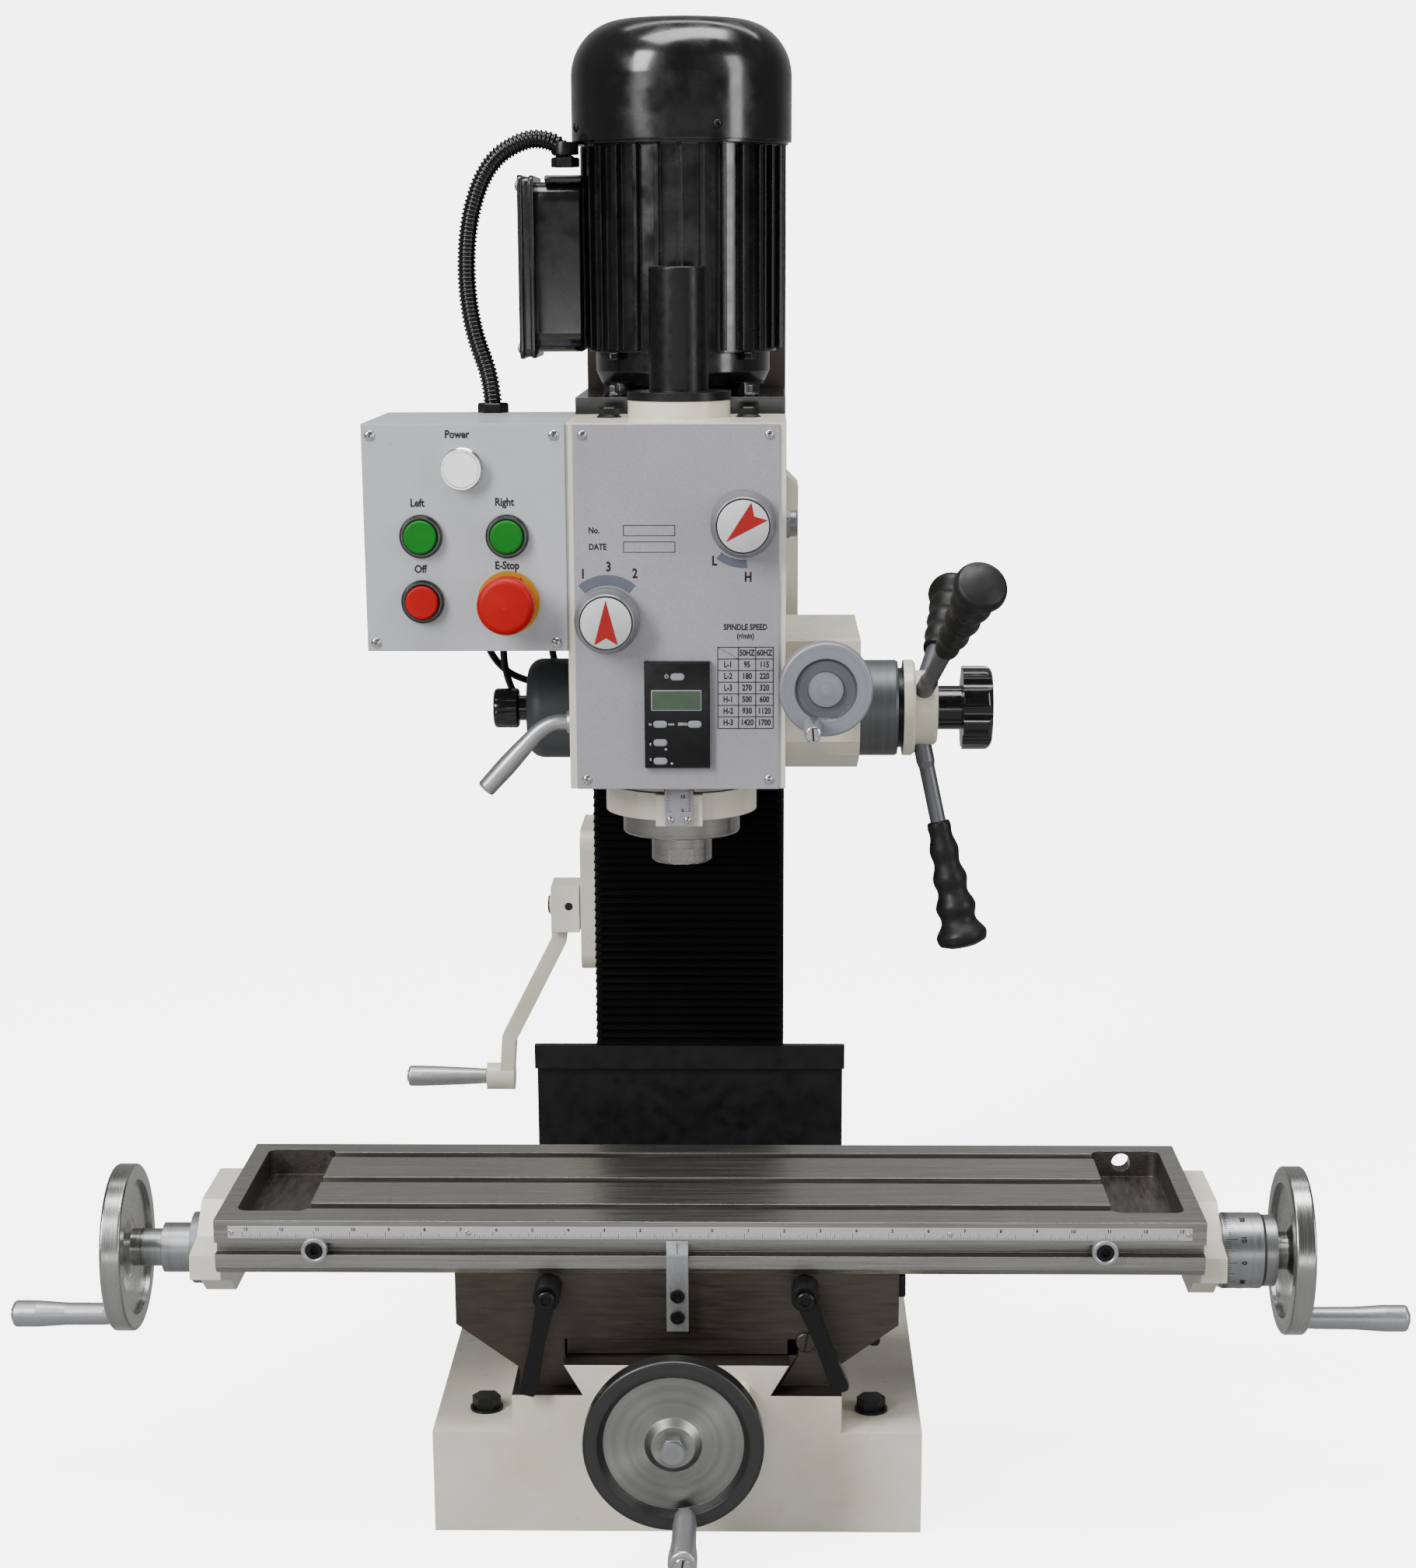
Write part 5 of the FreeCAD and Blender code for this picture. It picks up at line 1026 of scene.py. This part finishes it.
def spring_cover():
    """Rounded cast cover of the quill's return spring and its fluted knob."""
    centre, corner = Vector((0, FEED.y, FEED.z)), 12
    bm = bmesh.new()
    add_lathe(bm, [(0, 77.2), (37.4, 77.2), *arc((25.4, 105), corner, 0, 90, 10), (9.7, 117),
                   (9.7, 116), (0, 116)], centre, -X, 80)
    made = piece("spring_cover", bm, HOUSING_GREY, smooth=50)
    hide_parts("spring_housing")
    bm = bmesh.new()
    add_lathe(bm, [(0, 115), (9.5, 115), (9.5, 125), (0, 125)], centre, -X, 40)
    flutes, rows, knob_radius, flute_depth = 12, 6, 14.9, 0.9
    rings = []
    for shrink, along in ((1.6, 124), (0, 125.2), (0, 140.5), (0.8, 142.2), (2.6, 143)):
        ring = []
        for i in range(flutes * rows):
            angle = 2 * pi * i / (flutes * rows)
            radius = knob_radius - shrink - flute_depth * max(0.0, cos(flutes * angle)) ** 6
            ring.append(bm.verts.new(centre + Vector((-along, radius * cos(angle),
                                                      radius * sin(angle)))))
        rings.append(ring)
    join_rings(bm, rings)
    piece("spring_knob", bm, GLOSS_BLACK, smooth=40)


def terminal_box():
    """Rounded pressed box on the motor's side with a screwed lid."""
    middle = MOTOR + Z * 881
    bm = bmesh.new()
    for x, half_y, half_z, depth in ((-119.8, 41.8, 65.8, 3.4), (-116.2, 40.4, 64.4, 5.2),
                                     (-111.2, 41.4, 65.4, 3.2)):
        add_prism(bm, rounded(half_y, half_z, 6, 6), middle + X * x, Y, Z, depth, bevel=0.7)
    made = piece("terminal_lid", bm, BLACK, smooth=50)
    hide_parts("terminal_box")
    bm = bmesh.new()
    add_prism(bm, rounded(36, 61, 14, 6), middle - X * 108.2, Y, Z, 34, bevel=0.5)
    add_block(bm, (-100, 72, 941), (-72, 96, 946.5), 1.6)
    piece("terminal_body", bm, BLACK, smooth=50)


def control_cables():
    """Three flexible cables from the control box into the side of the head."""
    diameter = 5.5
    routes = [
        [(-149, 59, 618.9), (-149, 59, 607), (-145, 66, 594), (-135, 81, 580),
         (-120, 97, 571), (-102, 108, 567), (-88, 112, 566), (-77.1, 112, 566)],
        [(-136, 55, 618.9), (-136, 55, 605), (-136, 61, 590), (-134, 73, 574),
         (-129, 88, 558), (-119, 101, 545), (-104, 110, 536), (-88, 113, 533),
         (-77.1, 113, 533)],
        [(-100, 63, 618.9), (-100, 63, 608), (-100, 73, 597), (-99.5, 87, 587.5),
         (-95, 103, 579.5), (-88, 110, 577), (-77.1, 110, 577)]]
    glands = bmesh.new()
    for number, route in enumerate(routes, 1):
        path = smooth_line(route)
        bm = bmesh.new()
        sweep(bm, path, [diameter / 2] * len(path), 20)
        cable = piece(f"control_cable_{number}", bm, RUBBER, smooth=60)
        if number == 1:
            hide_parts("control_cables")
        for spot, out in ((route[0], -Z), (route[-1], -X)):
            add_lathe(glands, [(2.8, 0), (5.2, 0), (5.2, 3.5), (4.4, 4.6), (2.8, 4.6)], spot,
                      out, 24, closed=True)
    piece("cable_glands", glands, BLACK_PLASTIC)


def lock_trim():
    """Caps on the saddle lock levers."""
    for body, x in (("lock_left", -91), ("lock_right", 91)):
        spot = (x, -219.5, 181)
        bm = bmesh.new()
        add_lathe(bm, [(6.5, 0), (6.5, 1.6), (5.6, 2.3), (3.3, 2.3)], spot, -Y, 32)
        add_lathe(bm, [(3.3, 2.3), (3.2, 2.0), (3.2, 0.6), (0, 0.5)], spot, -Y, 6)
        piece(f"{body}_cap", bm, OXIDE_AND_SHADE_BLACK, body)


# ---------------------------------------------------------------------- stage
def stage():
    """White paper under the machine, curving up behind it."""
    floor = bpy.data.meshes.new("floor")
    bm = bmesh.new()
    outline = [(-6, 0), *arc((2.2, 1.6), 1.6, -90, 0, 12), (3.8, 7)]
    rows = [[bm.verts.new((x, y, z)) for x in (-9, 9)] for y, z in outline]
    for a, b in zip(rows, rows[1:]):
        bm.faces.new((a[0], a[1], b[1], b[0]))
    bm.to_mesh(floor)
    bm.free()
    floor.shade_smooth()
    look = Look("studio_paper", Roughness=0.9, Emission_Color=(1, 1, 1, 1))
    seen = look.node("ShaderNodeLightPath").outputs["Is Camera Ray"]
    look.wire("Emission Strength", look.level(seen, 0.06, 4.6, at=(0, 1)))
    look.wire("Base Color", look.mix(seen, (0.25, 0.25, 0.25, 1), (0.85, 0.85, 0.85, 1)))
    floor.materials.append(look.material)
    link(bpy.data.objects.new("floor", floor))


def lights():
    """A sky that is white to the camera and dim to the machine, and soft boxes."""
    world = bpy.data.worlds.new("studio")
    world.use_nodes = True
    bpy.context.scene.world = world
    tree = world.node_tree
    sky = tree.nodes["Background"]
    sky.inputs["Color"].default_value = (1, 1, 1, 1)
    seen = tree.nodes.new("ShaderNodeLightPath").outputs["Is Camera Ray"]
    strength = tree.nodes.new("ShaderNodeMapRange")
    strength.inputs["To Min"].default_value = 0.15
    strength.inputs["To Max"].default_value = 6.0
    tree.links.new(seen, strength.inputs["Value"])
    tree.links.new(strength.outputs["Result"], sky.inputs["Strength"])
    middle, paper = Vector((0, 0, 0.5)), Vector((0, 3.6, 0.4))
    for name, place, size, power, aim in (
            ("key", (-2.2, -2.4, 2.4), (1.0, 2.2), 165, middle),
            ("fill", (2.9, -1.6, 1.6), (0.8, 2.4), 48, middle),
            ("top", (0.1, -0.2, 3.2), (2.4, 1.0), 100, middle),
            ("low", (0.3, -3.2, 0.5), (3.2, 0.5), 16, middle),
            ("back", (0.4, 1.7, 3.4), (3.4, 0.9), 40, paper)):
        lamp = bpy.data.lights.new(name, "AREA")
        lamp.shape = "RECTANGLE"
        lamp.size, lamp.size_y = size
        lamp.energy = power
        holder = link(bpy.data.objects.new(name, lamp))
        holder.location = place
        holder.rotation_euler = (aim - Vector(place)).to_track_quat("-Z", "Y").to_euler()


def camera():
    """The photograph's viewpoint, found from the machine's own edges."""
    yaw, pitch, roll = 0.020711, 0.259438, -0.003995
    forward = Vector((-sin(yaw) * cos(pitch), cos(yaw) * cos(pitch), -sin(pitch)))
    right = Vector((cos(yaw), sin(yaw), 0))
    up = right.cross(forward)
    level_right = right * cos(roll) + up * sin(roll)
    level_up = up * cos(roll) - right * sin(roll)
    data = bpy.data.cameras.new("camera")
    data.sensor_width = 36
    data.lens = 65.004
    data.shift_y = 0.1437
    holder = link(bpy.data.objects.new("camera", data))
    matrix = Matrix((level_right, level_up, -forward)).transposed().to_4x4()
    matrix.translation = (0.06231, -2.08378, 0.88747)
    holder.matrix_world = matrix
    bpy.context.scene.camera = holder


paint_nodes()
for build in (bellows, conduit, feed_grips, knobs, plate_print, display, panel_print,
              dial_marks, table_trim, saddle_trim, head_trim, motor_trim, quill_lock,
              spring_cover, terminal_box, lock_trim, depth_scale, handle_trim,
              control_cables, stage, lights, camera):
    build()
